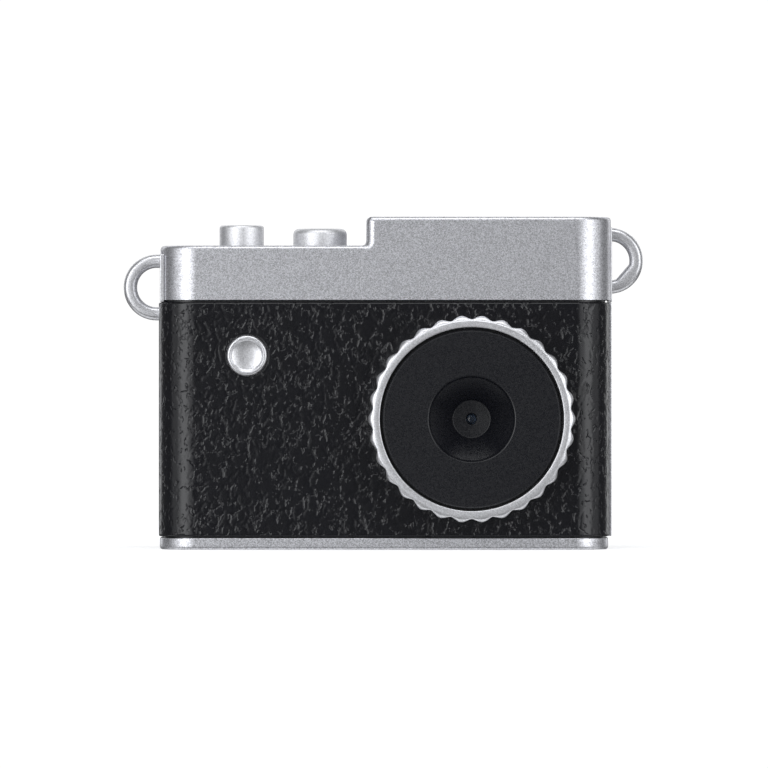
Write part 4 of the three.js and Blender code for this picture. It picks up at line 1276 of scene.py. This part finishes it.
@dataclass
class RearFittings(SubAssembly):
    """What shows on the back and the sides: display window, light pipe, card and port."""

    window_half: Pair = (13.0, 7.1)
    card_z: float = 15.7
    card_left: float = -23.5
    card_front: float = 1.5
    card_back: float = 2.2
    card_half: float = 5.5
    card_length: float = 15.0
    port_z: float = 12.7
    port_pitch: float = 0.72
    port_reach: Pair = (19.4, 22.6)
    port_y: float = 1.75

    def build(self) -> None:
        """Makes the window, the light pipe, the card with its contacts, and the port with its contacts."""
        half_x, half_z = self.window_half
        pane = slab(
            "display_window_pane", rounded_box(-half_x, half_x, -half_z, half_z, 0.9, 8),
            edge_levels(8.4, 9.3, 0.05, 0.22, 4), Facing.BACK, (WINDOW_AT[0], 0, WINDOW_AT[1]),
        )
        self.show(pane, CAMERA_BODY, "display_window")
        pipe = turned("status_light_pipe", [
            (0, 1.5, 0), (0.85, 1.5, 0.05), (0.85, 9.32, 0.35), (0, 9.35, 0),
        ], Facing.BACK, (LIGHT_PIPE_AT[0], 0, LIGHT_PIPE_AT[1]), 8, 48)
        self.show(pipe, CAMERA_BODY, "led_light_pipe")
        self.build_card()
        for word, width in (("shell", 0.07), ("tongue", 0.06)):
            piece = softened(self.nodes[f"usb_{word}"], f"port_{word}", width)
            self.show(piece, CAMERA_BODY, f"usb_{word}")
        pads = Skin()
        near, far = self.port_reach
        for k in range(5):
            z = self.port_z + (k - 2) * self.port_pitch
            strip = rounded_box(-far, -near, z - 0.2, z + 0.2, 0.05, 3)
            pads.slab(strip, edge_levels(0.0, 0.04, 0.0, 0.02, 2), Facing.BACK, (0, self.port_y, 0))
        self.show(pads.build("port_contacts"), CAMERA_BODY)

    def build_card(self) -> None:
        """The card's outline with its notch and sloped shoulder, three thumb grooves, and eight contacts."""
        half, length = self.card_half, self.card_length
        outline = filleted([
            (0, -half, 0.5), (length, -half, 0.5), (length, half - 1.3, 0.4), (length - 6.4, half - 1.3, 0.4),
            (length - 7.6, half, 0.3), (length - 9.0, half, 0.15), (length - 9.0, half - 0.5, 0.1),
            (length - 9.6, half - 0.5, 0.1), (length - 9.9, half, 0.15), (0, half, 0.5),
        ], True, 5)
        card = slab(
            "memory_card_body", outline, edge_levels(-self.card_back, -self.card_front, 0.08, 0.08, 3),
            Facing.FRONT, (self.card_left, 0, self.card_z),
        )
        grooves = []
        for k in range(3):
            reach = (self.card_left + 0.7 + 0.5 * k, self.card_left + 0.92 + 0.5 * k)
            grooves.append(block(reach, (2.13, 2.6), (self.card_z - 3.6, self.card_z + 3.6)))
        combine(card, grooves, "DIFFERENCE")
        self.show(card, "card", "memory_card")
        pads = Skin()
        for k in range(8):
            z = self.card_z - 4.6 + 1.1 * k
            pad = rounded_box(-14.2, -11.4, z - 0.38, z + 0.38, 0.12, 3)
            pads.slab(pad, edge_levels(0, 0.02, 0, 0.01, 1), Facing.BACK, (self.card_left, self.card_back, 0))
        self.show(pads.build("memory_card_contacts"), "card")

    def dress(self) -> None:
        """Dark glass, clear plastic, card plastic, pressed steel and gold."""
        self.finish(FINISHES["screen_glass"], "display_window_pane")
        self.finish(FINISHES["clear_plastic"], "status_light_pipe")
        self.finish(FINISHES["card_black"], "memory_card_body")
        self.finish(FINISHES["bright_steel"], "port_shell")
        self.finish(FINISHES["chip_black"], "port_tongue")
        self.finish(FINISHES["brass"], "port_contacts", "memory_card_contacts")


@dataclass
class Studio(SubAssembly):
    """The camera, the floor, the pale surroundings and the soft lights.

    Each row of panels is its name, its angle from straight ahead, width, height, distance in metres and
    brightness. Each row of overhead lights is its name, place in metres, width, height and brightness.
    """

    distance: float = 1000.0
    view_width: float = 79.872
    eye_z: float = 17.24
    sensor: float = 36.0
    panel_z: float = 0.17
    aim_z: float = 0.017
    left_panels: Rows = (
        ("front", 31.0, 0.92, 1.00, 1.05, 1.15), ("core", 35.0, 0.42, 0.80, 1.02, 1.60),
        ("side", 64.0, 0.52, 1.00, 1.05, 0.62),
    )
    right_panels: Rows = (
        ("front", 43.0, 0.84, 1.00, 1.05, 1.10), ("core", 49.0, 0.40, 0.80, 1.02, 1.25),
        ("side", 77.0, 0.46, 1.00, 1.05, 0.60),
    )
    fixed_lights: Rows = (
        ("top_softbox", (0.0, -0.45, 1.00), 1.10, 0.80, 2.2),
        ("rear_softbox", (0.0, 0.80, 0.62), 1.30, 0.60, 1.0),
        ("left_rear_softbox", (-0.62, 0.85, 0.20), 0.45, 0.60, 0.9),
        ("right_rear_softbox", (0.62, 0.85, 0.20), 0.45, 0.60, 0.9),
    )

    def build(self) -> None:
        """Makes the camera, the panels at each side, the lights above, behind and below, and the floor."""
        lens = bpy.data.cameras.new("view")
        lens.sensor_width = self.sensor
        lens.lens = self.sensor * self.distance / self.view_width
        lens.clip_start, lens.clip_end = 0.01, 50.0
        eye = linked("view", lens)
        eye.location = Vector((0.0, FRONT - self.distance, self.eye_z)) * MM
        eye.rotation_euler = (math.pi / 2, 0, 0)
        bpy.context.scene.camera = eye
        for word, side, panels in (("left", -1, self.left_panels), ("right", 1, self.right_panels)):
            for part, angle, width, height, reach, brightness in panels:
                turn = math.radians(angle)
                place = (side * reach * math.sin(turn), -reach * math.cos(turn), self.panel_z)
                self.soft_light(f"{word}_{part}_softbox", place, width, height, brightness)
        for row in self.fixed_lights:
            self.soft_light(*row)
        self.soft_light("floor_bounce", (0.0, 0.0, -0.14), 0.50, 0.18, 0.70).visible_camera = False
        self.floor()
        self.surroundings()

    def soft_light(self, name: str, place: Place, width: float, height: float, brightness: float) -> Piece:
        """A rectangular light that faces the object; brightness is its radiance."""
        data = bpy.data.lights.new(name, "AREA")
        data.shape = "RECTANGLE"
        data.size, data.size_y = width, height
        data.energy = brightness * math.pi * width * height
        data.color = (0.972, 0.984, 1.0)
        obj = linked(name, data)
        obj.location = place
        aim = Vector((0.0, 0.0, self.aim_z)) - Vector(place)
        obj.rotation_euler = aim.to_track_quat("-Z", "Y").to_euler()
        return obj

    def floor(self) -> None:
        """A broad pale floor that the camera stands on."""
        mesh = bpy.data.meshes.new("floor")
        side, front, back = 0.30, -0.10, 0.20
        corners = [(-side, front, 0), (side, front, 0), (side, back, 0), (-side, back, 0)]
        mesh.from_pydata(corners, [], [(0, 1, 2, 3)])
        floor = linked("floor", mesh)
        floor.visible_glossy = floor.visible_shadow = False
        graph = Graph("pale_floor")
        graph.link(graph.blend(graph.noise(220.0, 1.0), (0.93, 0.93, 0.93), (0.95, 0.95, 0.95)), "Base Color")
        white = (1.0, 1.0, 1.0)
        graph.set(Roughness=0.7, Specular_IOR_Level=0.2, Emission_Color=white, Emission_Strength=0.42)
        mesh.materials.append(graph.material)

    def surroundings(self) -> None:
        """A white backdrop to the eye, and a dimmer grey room for what the object reflects."""
        world = bpy.data.worlds.new("studio")
        bpy.context.scene.world = world
        world.use_nodes = True
        tree = world.node_tree
        tree.nodes.clear()
        room, backdrop = (tree.nodes.new("ShaderNodeBackground") for _ in range(2))
        for node, colour, strength in ((room, (0.97, 0.98, 1.0), 0.15), (backdrop, (1.0, 1.0, 1.0), 1.05)):
            node.inputs["Color"].default_value = (*colour, 1.0)
            node.inputs["Strength"].default_value = strength
        path = tree.nodes.new("ShaderNodeLightPath")
        mix = tree.nodes.new("ShaderNodeMixShader")
        output = tree.nodes.new("ShaderNodeOutputWorld")
        tree.links.new(path.outputs["Is Camera Ray"], mix.inputs[0])
        tree.links.new(room.outputs[0], mix.inputs[1])
        tree.links.new(backdrop.outputs[0], mix.inputs[2])
        tree.links.new(mix.outputs[0], output.inputs["Surface"])

    def dress(self) -> None:
        """Shows colours as they are, with no film curve."""
        bpy.context.scene.view_settings.view_transform = "Standard"
        bpy.context.scene.view_settings.look = "None"


def dress_inner_nodes(frame: dict[str, Any]) -> None:
    """Gives every CAD node that still shows the finish of its material slot."""
    for part in frame["record"]["subparts"]:
        node = frame["nodes"][part["node"]]
        if not node.hide_render:
            FINISHES[part["material_slot"]].apply(node)
            LOG.info("kept CAD node %s in %s", node.name, part["material_slot"])


def main() -> None:
    """Loads the frame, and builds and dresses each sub-assembly in order."""
    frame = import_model()
    nodes = frame["nodes"]
    front_holes = (
        Hole(LENS_AT[0], LENS_AT[2], 8.65, 11.2), Hole(FRONT_BUTTON_AT[0], FRONT_BUTTON_AT[2], 2.17, 3.7),
    )
    x, z = BUZZER_AT
    grille = [(x, z)] + [(x + 1.5 * math.cos(turn), z + 1.5 * math.sin(turn)) for turn in
                         (k * math.pi / 3 for k in range(6))]
    rear_holes = (Hole(*LIGHT_PIPE_AT, 1.05, 1.7), *(Hole(*at, 0.4, 0.72) for at in grille))
    x, z = WINDOW_AT
    assemblies: list[Any] = [
        Studio(nodes),
        TopCover(nodes),
        GrainedPanel(nodes, holes=front_holes),
        GrainedPanel(
            nodes, name="rear_grain_panel", node="rear_panel", rear=True, pitch=0.13, seed=311,
            holes=rear_holes, window=(x - 13.2, x + 13.2, z - 7.3, z + 7.3),
        ),
        Casing(nodes),
        LensGroup(nodes),
        Controls(nodes),
        RearFittings(nodes),
    ]
    for assembly in assemblies:
        assembly.build()
        assembly.dress()
        assembly.report()
    dress_inner_nodes(frame)


if __name__ == "__main__":
    logging.basicConfig(level=logging.INFO, format="%(message)s")
    main()
